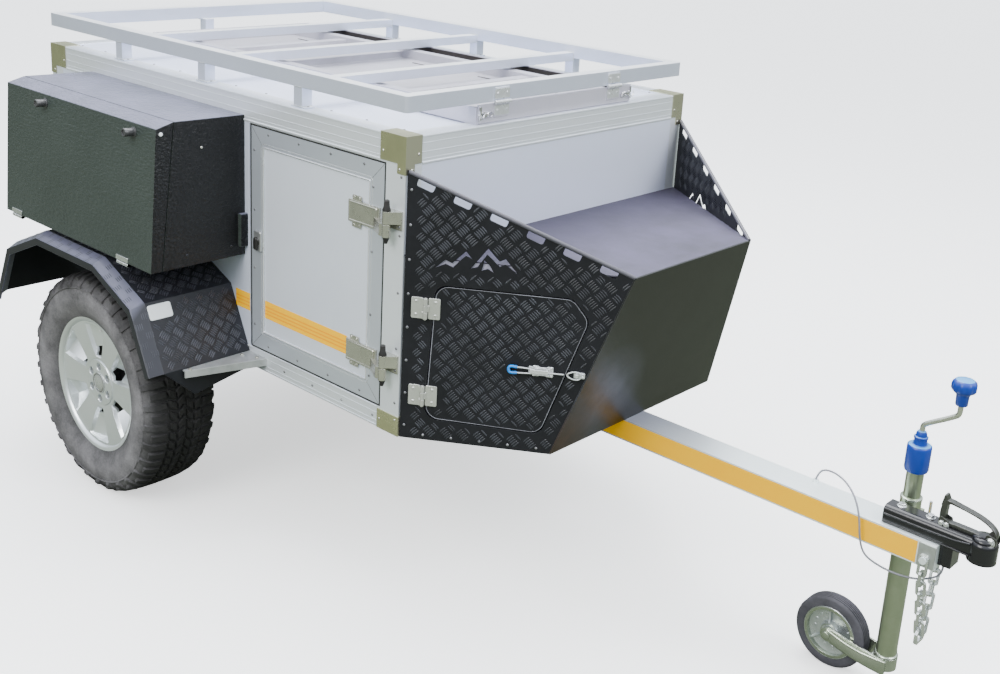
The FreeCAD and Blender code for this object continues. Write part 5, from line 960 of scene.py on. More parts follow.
def tread_bars(outline, holes, origin, ways, cell=0.0345, slant=math.pi / 4):
    """Bars on a flat sheet: groups of five side by side, in squares on the slant, each turned from the next.

    Outline and holes are corners (a, b) along the first two ways. A bar that touches an edge is left out."""
    low, high = outline.min(axis=0), outline.max(axis=0)
    count = int(np.linalg.norm(high - low) / cell) + 2
    i, j, k = np.meshgrid(np.arange(-count, count), np.arange(-count, count), np.arange(5), indexing="ij")
    odd = (i + j) % 2
    offset = (k - 2) * cell / 5
    s, t = (i + 0.5) * cell + offset * odd, (j + 0.5) * cell + offset * (1 - odd)
    c, n = math.cos(slant), math.sin(slant)
    centre = ((low + high) / 2 + np.stack([c * s - n * t, n * s + c * t], axis=-1)).reshape(-1, 2)
    angle = (slant + odd * np.pi / 2).ravel()
    reach = np.stack([np.cos(angle), np.sin(angle)], axis=-1) * 0.015
    kept = np.ones(len(centre), bool)
    for spot in (centre, centre + reach, centre - reach):
        kept &= within(spot, outline)
        for hole in holes:
            kept &= ~within(spot, hole)
    centre, angle = centre[kept], angle[kept]
    along = np.cos(angle)[:, None] * ways[0] + np.sin(angle)[:, None] * ways[1]
    sideways = np.cos(angle)[:, None] * ways[1] - np.sin(angle)[:, None] * ways[0]
    outward = np.broadcast_to(ways[2], along.shape)
    return copies((bar_points, bar_faces), origin + centre @ ways[:2], np.stack([along, sideways, outward],
        axis=1))


checker_black = finish("checker_black", (0.0045, 0.0047, 0.006), (0.009, 0.0095, 0.012), (0.1, 0.105, 0.13),
    roughness=0.4, specular=0.24, patch_size=3.2, patch_share=0.8, edge_wear=0.7, dust_share=0.1,
    grain=(700, 700, 700), grain_depth=0.00006, dust=(0.2, 0.2, 0.24))
bar_worn = finish("bar_worn", (0.007, 0.0075, 0.0095), (0.028, 0.03, 0.037), (0.12, 0.125, 0.15),
    roughness=0.3, specular=0.4, patch_size=7, patch_share=1, edge_wear=1, edge_radius=0.0006,
    dust_share=0.12, grain=(700, 700, 700), grain_depth=0.00004, dust=(0.24, 0.24, 0.28))
paint(checker_black, "nose_wing_right", "nose_wing_left")
hatch_corners = np.array([(0.123, 0.089), (0.153, 0.593), (0.746, 0.593), (0.821, 0.519), (0.639, 0.078)]) * (
    wing_length, wing_top - box_low) + (0, box_low)


def about_hatch(scale):
    """The hatch's corners, scaled about their mean."""
    middle = hatch_corners.mean(axis=0)
    return middle + (hatch_corners - middle) * scale


def wing_edge(u):
    """Height of the wing's sloping top edge."""
    return wing_top - u / wing_length * (wing_top - deck_z)


hinge_u, hinge_heights = 0.07, (0.963, 0.699)
latch_u, latch_z, catch_u = 0.4045, 0.812, 0.4985
edge_slope = math.atan2(wing_top - deck_z, wing_length)
wing_corners = np.array([(0.03, box_low + 0.004), (0.4424, box_low + 0.004), (wing_length, deck_z),
    (0.03, 1.343)])
ridge_round = [(0.086, 1.079), (0.118, 1.118), (0.14, 1.11), (0.176, 1.148), (0.203, 1.121), (0.238, 1.162),
    (0.273, 1.128), (0.29, 1.137), (0.336, 1.079)]
wing_holes = [about_hatch(1.045), ridge_round, box_round(catch_u + 0.015, latch_z, 0.022, 0.016)]
wing_holes += [box_round(u, wing_edge(u) - 0.018, 0.03, 0.016, -edge_slope) for u in np.linspace(0.095,
    0.895, 6) * wing_length]
wing_holes += [box_round(hinge_u, z, 0.046, 0.036) for z in hinge_heights]
hatch_holes = [box_round(latch_u - 0.02, latch_z, 0.075, 0.017)]
hatch_holes += [box_round(hinge_u + 0.01, z, 0.046, 0.036) for z in hinge_heights]
above_deck = np.array([(0.035, deck_z + 0.01), (0.61, deck_z + 0.01), (0.035, 1.335)])
wing_treads = tread_bars(wing_corners, wing_holes, wing_foot, wing_ways)
inner_treads = tread_bars(above_deck, wing_holes, wing_foot - 0.004 * wing_ways[2], wing_ways * [[1], [1],
    [-1]])
hatch_treads = tread_bars(about_hatch(0.985), hatch_holes, wing_foot, wing_ways)
both_hands("wing_treads", wing_treads, bar_worn, crease=10)
# the bars on the wing's inner face take the plate's plain black, darker than the rubbed outer bars, as
# painted shade
both_hands("wing_treads_inner", inner_treads, checker_black, crease=10)
both_hands("hatch_treads", hatch_treads, bar_worn, "nose_hatch", crease=10)
hatch_outline = round_corners(hatch_corners, 0.038, 9)
hatch_sheet = plate_form(hatch_outline, ((0, -0.004), (0, -0.0004), (0.0005, 0.0)), wing_foot, wing_ways)
both_hands("hatch_sheet", hatch_sheet, checker_black, "nose_hatch", stands_for="nose_hatch")

# grey liner riveted behind the cut-out hills, where they reach below the deck
liner_grey = finish("liner_grey", (0.29, 0.28, 0.37), (0.25, 0.24, 0.32), roughness=0.5, patch_size=9,
    patch_share=0.8, dust_share=0.2)
hill_liner = plate_form(rectangle(0.084, 0.34, 1.07, 1.108), ((0, -0.0056), (0, -0.0046)), wing_foot,
    wing_ways)
both_hands("hill_liner", hill_liner, liner_grey)

# bare bright edge of the hatch's sheet, and the rolled bead along the top of each wing
cut_edge = finish("cut_edge", (0.26, 0.265, 0.3), (0.07, 0.07, 0.085), (0.5, 0.5, 0.54), roughness=0.4,
    patch_size=5, patch_share=1, dust_share=0.1)
hatch_edge = tube(on_wing(*inset(hatch_outline, 0.0006).T), 0.0011, wing_ways[2], 6, ring=True)
both_hands("hatch_edge", hatch_edge, cut_edge, "nose_hatch", crease=60)
bead_tone = finish("bead_tone", (0.08, 0.078, 0.1), (0.04, 0.038, 0.052), (0.26, 0.26, 0.32), roughness=0.34,
    specular=0.6, patch_size=6, edge_wear=0.5)
bead_u = np.linspace(0.01, wing_length + 0.001, 24)
wing_bead = tube(on_wing(bead_u, wing_edge(bead_u) - 0.0006, -0.002), 0.006, wing_ways[2], 10)
both_hands("wing_bead", wing_bead, bead_tone, crease=60)

# blind rivets down the wing's rear flange and along its foot
rivet_u = np.concatenate([np.full(8, 0.0185), np.linspace(0.075, 0.405, 5)])
rivet_z = np.concatenate([np.linspace(0.6, 1.3, 8), np.full(5, box_low + 0.014)])
rivet_metal = finish("rivet_metal", (0.34, 0.34, 0.37), (0.15, 0.15, 0.17), metallic=0.7, roughness=0.35,
    patch_size=30, patch_share=1)
both_hands("wing_rivets", copies(rivet, on_wing(rivet_u, rivet_z), wing_ways), rivet_metal,
    crease=60)

# deck: scuffed black, with a painted lavender-grey sky sheen in broken clouds on its upward faces, painted
# shade towards the box, and long scratches from sliding loads
nose_deck_black = finish("nose_deck_black", (0.026, 0.024, 0.036), (0.06, 0.056, 0.08), (0.3, 0.3, 0.34),
    roughness=0.52, roughness_spread=0.3, specular=0.24, patch_size=5, patch_share=1, grain=(40, 260, 60),
    grain_depth=0.00022, dust_share=0.35, dust=(0.2, 0.2, 0.25), edge_wear=0.8, edge_radius=0.0025)
paint_light_facing(nose_deck_black, "Z", 0.3, 0.8, (0.098, 0.09, 0.142), 0.95, 0.15)
paint_light_along(nose_deck_black, "X", 0.56, 0.24, (0.04, 0.035, 0.056), 0.85)
paint(nose_deck_black, "nose_deck")

# front: two hazy patches on black, where the yard's light and the tape's shine are mirrored near the foot
nose_front_black = finish("nose_front_black", (0.0045, 0.005, 0.0038), (0.0095, 0.0105, 0.0078),
    (0.2, 0.2, 0.23), roughness=0.36, roughness_spread=0.25, specular=0.34, patch_size=4, patch_share=1,
    grain=(420, 420, 420), grain_depth=0.00012, dust_share=0.12, dust=(0.07, 0.075, 0.06), edge_wear=0.8,
    edge_radius=0.002)
tree, shader, tone, where = finished(nose_front_black)
haze = noise(tree, where, 14.0, 5.0, 0.6)
for spot, size, colour, weight in (((0.65, -0.235, 0.69), 0.2, (0.12, 0.124, 0.17, 1), 0.7),
        ((0.605, -0.345, 0.61), 0.13, (0.06, 0.03, 0.018, 1), 0.95)):
    off_spot = add(tree, "VectorMath", {0: where, 1: spot}, operation="SUBTRACT").outputs[0]
    away = add(tree, "VectorMath", {0: off_spot}, operation="LENGTH").outputs["Value"]
    share = maths(tree, "MULTIPLY", ranged(tree, away, size, 0.0, 0.0, weight), haze)
    tone = blend(tree, maths(tree, "MULTIPLY", share, 1.5, use_clamp=True), tone, colour)
plug(shader, {"Base Color": tone})
paint(nose_front_black, "nose_front_panel", "nose_floor")


# Hatch hinges and toggle latch: pressed stainless leaves on a pin, two rivets a leaf, and a zinc latch
# whose sprung hook pulls over a catch on the wing. Its handle is dipped in blue plastic.
hinge_steel = finish("hinge_steel", (0.7, 0.7, 0.68), (0.56, 0.57, 0.53), metallic=0.75, roughness=0.3,
    patch_size=24, patch_share=0.6, edge_radius=0.0006, grain=(40, 40, 900), grain_depth=0.00002,
    edge_wear=0.4)
knuckle = turned(((0.0, -0.0101), (0.0058, -0.0101), (0.0065, -0.0095), (0.0065, 0.0095), (0.0058, 0.0101),
    (0.0, 0.0101)), 16, "z")
pin_end = turned(((0.0, -0.0016), (0.003, -0.0016), (0.0036, -0.0006), (0.0036, 0.0006), (0.0, 0.0016)), 12,
    "z")
pin_lift = 0.007


def wing_plate(outline, edge, chamfer, top, u, z):
    """Raised plate on the right wing."""
    return raised(outline, edge, chamfer, top, on_wing(u, z), wing_ways)


def hatch_leaf(side):
    """Leaves on one side of both pins, each with two rivets, its share of the knuckles and their tongues."""
    forms = []
    for z in hinge_heights:
        middle = hinge_u + side * 0.0245
        forms += [wing_plate(pad(0.017, 0.0312, 0.0045, 5), 0.0031, 0.0006, 0.0036, middle, z),
            copies(rivet, on_wing(middle + side * 0.003, [z - 0.0195, z + 0.0195], 0.0034), wing_ways)]
        for shift in ((0.0,) if side > 0 else (-0.0205, 0.0205)):
            forms += [moved(knuckle, on_wing(hinge_u, z + shift, pin_lift)),
                wing_plate(pad(0.0052, 0.0098, 0.001, 3), 0.0068, 0.0006, 0.0074, hinge_u + side * 0.0055,
                z + shift)]
    if side < 0:
        forms += [moved(pin_end, on_wing(hinge_u, z + end, pin_lift)) for z in hinge_heights
            for end in (-0.0318, 0.0318)]
    return joined(*forms)


both_hands("hatch_hinge_leaf", hatch_leaf(1), hinge_steel, "nose_hatch", crease=35)
both_hands("hatch_hinge_fixed", hatch_leaf(-1), hinge_steel, crease=35)

# the latch: base, lugs and lever between two cheeks, and a rod through them that ends in the hook's loop
latch_zinc = finish("latch_zinc", (0.78, 0.8, 0.82), (0.6, 0.62, 0.64), metallic=0.6, roughness=0.28,
    patch_size=40, patch_share=0.6, edge_radius=0.0006, edge_wear=0.4)
latch_blue = finish("latch_blue", (0.005, 0.23, 0.72), (0.004, 0.17, 0.58), roughness=0.3, specular=0.5,
    patch_size=20, edge_wear=0.1)
lug = pad(0.009, 0.0155, 0.003, 4)
toggle = [wing_plate(pad(0.035, 0.012, 0.003, 4), 0.0018, 0.0005, 0.0022, latch_u, latch_z),
    wing_plate(lug, 0.0024, 0.0005, 0.0028, latch_u + 0.026, latch_z), wing_plate(lug, 0.0024, 0.0005,
    0.0028, latch_u - 0.014, latch_z), plate_form(pad(0.026, 0.0066, 0.002, 4), ((0, 0.005), (0, 0.0105),
    (0.0012, 0.0118)), on_wing(latch_u - 0.004, latch_z), wing_ways)]
for side in (-1, 1):
    toggle.append(wing_plate(pad(0.0245, 0.0012, 0.0008, 3), 0.0094, 0.0004, 0.0098, latch_u + 0.002,
        latch_z + side * 0.009))
    shank = on_wing(latch_u - np.array([0.026, 0.05, 0.07]), latch_z + side
        * np.array([0.0068, 0.008, 0.0085]), [0.0085, 0.009, 0.0095])
    toggle.append(tube(shank, 0.0024, wing_ways[2], 8))
    toggle.append(copies(rivet, on_wing(latch_u + np.array([0.0305, -0.017]), latch_z + side * 0.0122,
        0.0026), wing_ways))
cross_pin = turned(((0.0, -0.0125), (0.0026, -0.0125), (0.0026, 0.0125), (0.0, 0.0125)), 10, "z")
toggle += [moved(cross_pin, on_wing(latch_u + u, latch_z, lift)) for u, lift in ((0.018, 0.007),
    (-0.02, 0.0078))]
rod_line = on_wing(np.linspace(latch_u + 0.014, latch_u + 0.066, 6), latch_z, 0.0085)
toggle.append(tube(rod_line, 0.0023, wing_ways[2], 8))
turn = np.linspace(0, 2 * np.pi, 25)[:-1]
hook_z = latch_z + 0.0112 * np.sin(turn) * (1.0 + 0.25 * np.cos(turn))
hook = on_wing(catch_u + 0.0005 + 0.02 * np.cos(turn), hook_z, 0.0085)
toggle.append(tube(hook, 0.0023, wing_ways[2], 8, ring=True))
both_hands("hatch_toggle", joined(*toggle), latch_zinc, "nose_hatch", crease=35)
grip_line = smooth_line([(-0.066, 0.0085), (-0.084, 0.0092), (-0.0895, 0.0045), (-0.0895, -0.0045),
    (-0.084, -0.0092), (-0.066, -0.0085)], 5) + (latch_u, latch_z)
grip = tube(on_wing(*grip_line.T, 0.0098), 0.0044, wing_ways[2], 10)
both_hands("hatch_toggle_grip", grip, latch_blue, "nose_hatch", crease=60)
catch = joined(wing_plate(pad(0.0156, 0.0086, 0.003, 4), 0.005, 0.0006, 0.0055, catch_u + 0.015, latch_z),
    plate_form(pad(0.003, 0.005, 0.001, 3), ((0, 0.0), (0, 0.012), (-0.0008, 0.0132), (0.0004, 0.0142)),
    on_wing(catch_u + 0.008, latch_z), wing_ways), copies(rivet, on_wing(catch_u + 0.0235,
    [latch_z - 0.0045, latch_z + 0.0045], 0.0053), wing_ways))
both_hands("hatch_catch", catch, latch_zinc, crease=35)


# Fenders: folded and welded from the same black tread plate, with a sloping outer lip and a turned edge.
# The lip is lavender-grey, a painted sky reflection, rubbed at its edges; the front slope bears a white
# reflector, and bare gussets stay it.
fender_line = np.array([(-0.483, 0.61), (-0.384, 0.812), (-0.164, 0.906), (0.204, 0.906), (0.424, 0.812),
    (0.523, 0.61)]) + (axle_x, 0)
fender_inner, fender_outer, lip_outer = -0.651, -0.963, -1.003


def moved_in(line, amount):
    """Open chain of corners moved towards its inside, each corner along its mitre."""
    way = along_unit(np.diff(line, axis=0))
    normal = np.stack([way[:, 1], -way[:, 0]], axis=1)
    mitre = normal[:-1] + normal[1:]
    mitre = mitre / (mitre * normal[1:]).sum(axis=1, keepdims=True)
    return line + np.concatenate([normal[:1], mitre, normal[-1:]]) * amount


def at_y(line, y):
    """Line of (x, z) set at a distance across the trailer."""
    return np.stack([line[:, 0], np.full(len(line), y), line[:, 1]], axis=-1)


# five flats and the lip outside each; the reflector's place on the front one stays bare
lip_line = moved_in(fender_line, 0.019)
fender_edge, lip_edge = at_y(fender_line, fender_outer), at_y(lip_line, lip_outer)
badge_place = rectangle(0.0, 0.064, 0.868, 0.97)
treads = []
for k in range(5):
    run = fender_line[k + 1] - fender_line[k]
    length = math.hypot(*run)
    down = np.array([run[0], 0, run[1]]) / length
    flat_ways = np.array([down, (0, -1.0, 0), (-down[2], 0, down[0])])
    start = np.array([fender_line[k][0], 0, fender_line[k][1]])
    flat = rectangle(0.004, length - 0.004, -fender_inner, -fender_outer - 0.004)
    treads.append(tread_bars(flat, [badge_place] if k == 4 else [], start, flat_ways))
    edge, far = fender_edge[k], lip_edge[k]
    slope = along_unit((far - edge) - ((far - edge) @ down) * down)
    lip_ways = np.array([down, slope, np.cross(slope, down)])
    corners = np.array([edge, fender_edge[k + 1], lip_edge[k + 1], far]) - edge
    treads.append(tread_bars(corners @ lip_ways[:2].T + (0, -0.0005), [], edge, lip_ways, cell=0.03,
        slant=0.0))
bars_fender = finish("bars_fender", (0.01, 0.0105, 0.014), (0.055, 0.058, 0.075), (0.16, 0.165, 0.2),
    roughness=0.3, specular=0.45, patch_size=6, patch_share=1, edge_wear=1, edge_radius=0.0006,
    dust_share=0.1, dust=(0.22, 0.22, 0.27))
both_hands("fender_treads", joined(*treads), bars_fender, crease=10)
fender_black = finish("fender_black", (0.006, 0.0065, 0.009), (0.012, 0.013, 0.018), (0.1, 0.105, 0.13),
    roughness=0.38, specular=0.32, patch_size=3.2, patch_share=0.8, edge_wear=0.7, dust_share=0.1,
    grain=(700, 700, 700), grain_depth=0.00006, dust=(0.2, 0.2, 0.24))
paint(fender_black, "fender_right", "fender_left")

# the lip: a band of the same sheet, lavender-grey as a painted sky reflection, with a turned edge; past the
# front bend it turns near black as painted shade
lip_tone = finish("lip_tone", (0.12, 0.122, 0.185), (0.08, 0.081, 0.12), (0.3, 0.31, 0.38), roughness=0.32,
    specular=0.6, patch_size=6, patch_share=0.9, edge_wear=0.8, edge_radius=0.0016, dust_share=0.12,
    dust=(0.25, 0.25, 0.3))
front_bend = fender_line[4][0]
paint_light_along(lip_tone, "X", front_bend - 0.012, front_bend + 0.004, (0.007, 0.0075, 0.01), 0.9)
band = np.stack([at_y(moved_in(line, amount), y) for line, amount, y in ((fender_line, -0.0004,
    fender_outer), (lip_line, -0.0006, lip_outer - 0.0004), (lip_line, -0.0006, lip_outer - 0.0038),
    (lip_line, 0.0225, lip_outer - 0.0038), (lip_line, 0.0225, lip_outer + 0.0004),
    (lip_line, 0.0045, lip_outer + 0.0004), (fender_line, 0.0045, fender_outer))], axis=1)
both_hands("fender_lip", (band.reshape(-1, 3), capped(*band.shape[:2])), lip_tone, crease=20)
reflector_white = finish("reflector_white", (0.8, 0.84, 0.86), (0.72, 0.76, 0.8), roughness=0.22,
    specular=0.6, patch_size=30, grain=(500, 500, 500), grain_depth=0.00005, edge_wear=0.1)
# the last flat of the loop is the front slope
badge = raised(round_corners(box_round(0.034, 0.92, 0.024, 0.04), 0.007, 6), 0.0028, 0.0012, 0.004, start,
    flat_ways)
both_hands("fender_reflector", badge, reflector_white, crease=40)
stay_silver = finish("stay_silver", (0.58, 0.6, 0.62), (0.4, 0.42, 0.43), (0.95, 0.95, 0.96), metallic=0.6,
    roughness=0.36, patch_size=16, patch_share=0.9, edge_wear=0.7, edge_radius=0.0015, dust_share=0.25)
paint(stay_silver, "fender_stays")
bolt_form = turned(((0.0, -0.0002), (0.0065, -0.0002), (0.0065, 0.004), (0.0058, 0.0048), (0.0, 0.005)), 6,
    "z")
stay_bolts = copies(bolt_form, [(x + axle_x, y, 0.6068) for x, y in ((0.537, -0.88), (0.54, -0.69),
    (0.59, -0.668))])
both_hands("stay_bolts", stay_bolts, rivet_bright, crease=20)


# Side boxes: sheet steel under a thick black textured coating, with a pan door that drops on two hinges.
# Two round studs hold the door shut. The coat is glossy, with a painted lavender sky reflection on its
# upward faces and a painted near-black shade on its forward-facing ends.
box_coat = finish("box_coat", (0.029, 0.0385, 0.0345), (0.047, 0.061, 0.055), (0.08, 0.085, 0.09),
    roughness=0.34, roughness_spread=0.1, specular=0.36, patch_size=2.4, grain=(55, 90, 130),
    grain_depth=0.004, edge_radius=0.006, edge_wear=0.35, dust_share=0.1, dust=(0.13, 0.14, 0.13))
# painted shade: the box's forward-facing ends are blended to near black
paint_light_facing(box_coat, "X", 0.6, 0.95, (0.003, 0.0026, 0.004), 0.98, 0.96)
# painted sky reflection: the box's upward faces are blended to lavender-grey
paint_light_facing(box_coat, "Z", 0.35, 0.95, (0.16, 0.16, 0.225))
paint(box_coat, "side_box_right", "side_box_left", "side_box_door_right", "side_box_door_left")
face_top, face_low = np.array([-0.956, 1.368]), np.array([-0.985, 0.931])
lean = along_unit(face_top - face_low)
face_ways = np.array([(1.0, 0, 0), (0, *lean), (0, -lean[1], lean[0])])


def on_face(x, z):
    """Place on the right side box's sloping face at a height."""
    return x + axle_x, np.interp(z, (face_low[1], face_top[1]), (face_low[0], face_top[0])), z


def hinge_barrel(axis):
    """Knuckle of a pressed hinge, with chamfered ends."""
    return turned(((0.0, -0.01), (0.006, -0.01), (0.0067, -0.0094), (0.0067, 0.0094), (0.006, 0.01),
        (0.0, 0.01)), 16, axis)


knob = turned(((0.0, 0.0), (0.0158, 0.0), (0.0158, 0.0026), (0.0128, 0.0042), (0.0124, 0.02),
    (0.013, 0.0325), (0.0116, 0.035), (0.0086, 0.0352), (0.008, 0.0322), (0.0, 0.0322)), 24, "z")
knob_grey = finish("knob_grey", (0.03, 0.031, 0.034), (0.05, 0.05, 0.055), (0.22, 0.23, 0.25),
    roughness=0.34, specular=0.5, edge_wear=0.7, edge_radius=0.0008)
knobs = copies(knob, [on_face(x, 1.34) for x in (-0.139, 0.385)], face_ways)
both_hands("box_knob", knobs, knob_grey, "side_box_door", crease=40)
hinge_white = finish("hinge_white", (0.72, 0.74, 0.74), (0.5, 0.52, 0.5), metallic=0.9, roughness=0.26,
    patch_size=30, edge_wear=0.4, dust_share=0.1)
low_leaf = round_corners(box_round(0, 0.0075, 0.033, 0.0075), 0.003, 4)
door_leaves, barrels = [], []
for x in (-0.322, 0.341):
    door_leaves += [raised(low_leaf, 0.0022, 0.0006, 0.0028, on_face(x, 0.9325), face_ways),
        copies(rivet, [on_face(x + d, 0.9415) for d in (-0.022, 0.0, 0.022)], face_ways)]
    for shift, holder in ((0.0, door_leaves), (-0.0205, barrels), (0.0205, barrels)):
        holder.append(moved(hinge_barrel("x"), (x + shift + axle_x, -0.981, 0.924)))
both_hands("box_hinge_leaf", joined(*door_leaves), hinge_white, "side_box_door", crease=35)
both_hands("box_hinge_barrel", joined(*barrels), hinge_white, crease=35)
end_x = 0.502 + axle_x
both_hands("box_rivets", copies(rivet, [(end_x, -0.803, 1.296)], front_ways), rivet_bright,
    crease=60)
low_rivets = copies(rivet, [(end_x, -0.7, 0.965), (end_x, -0.86, 0.965)], front_ways)
both_hands("box_rivets_coated", low_rivets, box_coat, crease=60)
cap_white = turned(((0.0, 0.0), (0.006, 0.0), (0.006, 0.002), (0.0046, 0.003), (0.0, 0.0034)), 16, "z")
both_hands("box_end_cap", copies(cap_white, [(end_x, -0.941, 1.352)], front_ways), reflector_white,
    "side_box_door")


# Roof rack and table: square aluminium tube, mitred and welded, on short posts with foot plates.
# A folding table lies in a tray below, behind a flap on two hinges with a sprung wire catch at each end.
rack_silver = finish("rack_silver", (0.66, 0.7, 0.82), (0.58, 0.62, 0.74), (0.96, 0.97, 1.0), metallic=0.45,
    roughness=0.32, patch_size=3.2, patch_share=0.7, grain=(16, 16, 500), grain_depth=0.00004, edge_wear=0.5,
    edge_radius=0.0025, dust_share=0.05)
tray_silver = finish("tray_silver", (0.6, 0.58, 0.66), (0.52, 0.51, 0.6), metallic=0.35, roughness=0.38,
    patch_size=3.6, patch_share=0.8, edge_wear=0.4, dust_share=0.15)
table_silver = finish("table_silver", (0.56, 0.555, 0.62), (0.42, 0.41, 0.46), (0.9, 0.9, 0.93),
    metallic=0.4, roughness=0.34, patch_size=4, patch_share=0.8, grain=(18, 400, 400), grain_depth=0.00005,
    edge_wear=0.5, edge_radius=0.002, dust_share=0.2)
# painted highlight: the rack's upward faces are blended to near white, in broken clouds
paint_light_facing(rack_silver, "Z", 0.5, 0.9, (0.98, 0.99, 1.0))
paint(rack_silver, "rack_frame", "rack_crossbars", "rack_posts")
paint(tray_silver, "table_tray", "table_flap")
paint(table_silver, "stowed_table")
rail_low, rail_high, rack_half, tube_half = 1.506, 1.552, 0.64, 0.02
rack_back, rack_fore = -0.693 + axle_x, 1.219 + axle_x
post_places = np.array([-0.228, 0.262, 0.752]) + axle_x
foot_z, crossbar_top = 1.4485, 1.5262


def weld(start, end, radius=0.0024):
    """Fillet of weld metal along a straight joint: a tube whose radius swells and shrinks in ripples."""
    start, end = np.array(start), np.array(end)
    steps = max(8, int(np.linalg.norm(end - start) / 0.0022))
    t = np.linspace(0, 1, steps)
    swell = radius * (1 + 0.14 * np.sin(t * steps * np.pi / 1.5))
    swell[[0, -1]] = radius * 0.5
    up = (0.0, 0.0, 1.0) if abs(end[2] - start[2]) < 0.01 else (1.0, 0.0, 0.0)
    return tube(start + (end - start) * t[:, None], swell, up, 6)


welds = []
for x in post_places:
    for side in (-1, 1):
        inner, y = side * (rack_half - 2 * tube_half), side * (rack_half - tube_half)
        welds += [weld((x + dx, inner, 1.497), (x + dx, inner, 1.5255)) for dx in (-0.02, 0.02)]
        welds.append(weld((x - 0.019, inner, crossbar_top), (x + 0.019, inner, crossbar_top)))
        for dx, dy in ((-0.019, 0), (0.019, 0), (0, -0.019), (0, 0.019)):
            for z, radius in ((foot_z, 0.0024), (rail_low - 0.0002, 0.002)):
                welds.append(weld((x + dx - abs(dy), y + dy - abs(dx), z),
                    (x + dx + abs(dy), y + dy + abs(dx), z), radius))
for x, inwards in ((rack_back, 1), (rack_fore, -1)):
    for side in (-1, 1):
        corner_x, corner_y = x + inwards * 2 * tube_half, side * (rack_half - 2 * tube_half)
        outer = (x + inwards * 0.004, side * (rack_half - 0.004), rail_high - 0.0012)
        welds += [weld(outer, (corner_x, corner_y, rail_high - 0.0012), 0.0011),
            weld((corner_x, corner_y, rail_low), (corner_x, corner_y, rail_high - 0.002), 0.0016)]
weld_metal = finish("weld_metal", (0.66, 0.7, 0.74), (0.44, 0.46, 0.48), metallic=0.6, roughness=0.38,
    patch_size=60, patch_share=0.9, edge_wear=0.2, dust_share=0.1)
piece("rack_welds", joined(*welds), weld_metal, crease=60)
foot_screws = [(x + dx, side * (rack_half - tube_half), foot_z - 0.0005) for x in post_places
    for side in (-1, 1) for dx in (-0.025, 0.025)]
foot_screws += [(-0.647 + axle_x, side * 0.025, foot_z - 0.0005) for side in (-1, 1)]
piece("rack_screws", copies(screw, foot_screws), screw_steel, crease=60)
# roof: a flanged edge with screws
roof_screws = [(x, side * 0.574, 1.44) for x in np.linspace(box_rear + 0.09, box_front - 0.09, 12)
    for side in (-1, 1)]
piece("roof_screws", copies(screw, roof_screws), screw_steel, crease=60)
# near-black strip in the gap along the table's left edge, a near-black liner on the tray's far wall as
# painted shade in that gap, and dark slots in the table
channel_back, channel_fore = -0.44 + axle_x, 1.195 + axle_x
channel = plate_form(rectangle(channel_back, channel_fore, 0.2955, 0.354), ((0, 1.4472), (0, 1.452)))
shade_liner = plate_form(rectangle(channel_back, channel_fore, 1.4515, 1.491), ((0, 0.0), (0, 0.0015)),
    (0, 0.358, 0), right_ways)
gap_shade_black = finish("gap_shade_black", (0.014, 0.012, 0.013), (0.04, 0.03, 0.032), roughness=0.6,
    dust_share=0.1)
piece("tray_gap_shade", joined(channel, shade_liner), gap_shade_black)
slots = [plate_form(round_corners(box_round(x, y, 0.06, 0.0035), 0.003, 4), ((0, 1.4576), (0, 1.4594)))
    for x in np.linspace(-0.246, 1.077, 5) + axle_x for y in (-0.24, 0.19)]
piece("table_slots", joined(*slots), gap_shade_black)

# flap hinges: bright leaves on the rail and the flap with four screws, and ringed knuckles between them
fore_face, flap_pin = rack_fore + 0.003, np.array([rack_fore + 0.007, 0, rail_low - 0.002])
leaf_top = pad(0.0312, 0.015, 0.004, 5)
flap_hinge_fixed, flap_hinge_moving = [], []
for y in (-0.264, 0.264):
    for holder, z in ((flap_hinge_fixed, flap_pin[2] + 0.0245), (flap_hinge_moving, flap_pin[2] - 0.0245)):
        holder += [plate_form(leaf_top, ((0, -0.003), (0, 0.0003), (0.0006, 0.0009)), (fore_face, y, z),
            front_ways), copies(screw, [(fore_face + 0.0007, y + d, z + 0.001) for d in (-0.02, 0.02)],
            front_ways)]
    for shift, holder in ((0.0, flap_hinge_moving), (-0.0205, flap_hinge_fixed), (0.0205, flap_hinge_fixed)):
        holder.append(moved(hinge_barrel("y"), flap_pin + (0, y + shift, 0)))
    for side in (-1, 1):
        flap_pin_end = turned(((0.0, side * 0.03), (0.0066, side * 0.0304), (0.0066, side * 0.0322),
            (0.005, side * 0.0335), (0.0, side * 0.0335)), 16)
        flap_hinge_fixed.append(moved(flap_pin_end, flap_pin + (0, y, 0)))
piece("flap_hinge_leaves", joined(*flap_hinge_moving), latch_zinc, "table_flap", crease=35)
piece("flap_hinge_rail", joined(*flap_hinge_fixed), latch_zinc, crease=35)

# wire catches at the flap's ends: a folded plate, a rod through an eye, and a bent lever of wire
chrome_wire = finish("chrome_wire", (0.8, 0.8, 0.82), (0.5, 0.5, 0.52), metallic=1.0, roughness=0.15,
    patch_size=60, edge_wear=0.2, edge_radius=0.0004)
eye = turned(((0.0, -0.0055), (0.0045, -0.0055), (0.005, -0.0045), (0.005, 0.0045), (0.0, 0.0055)), 12, "z")
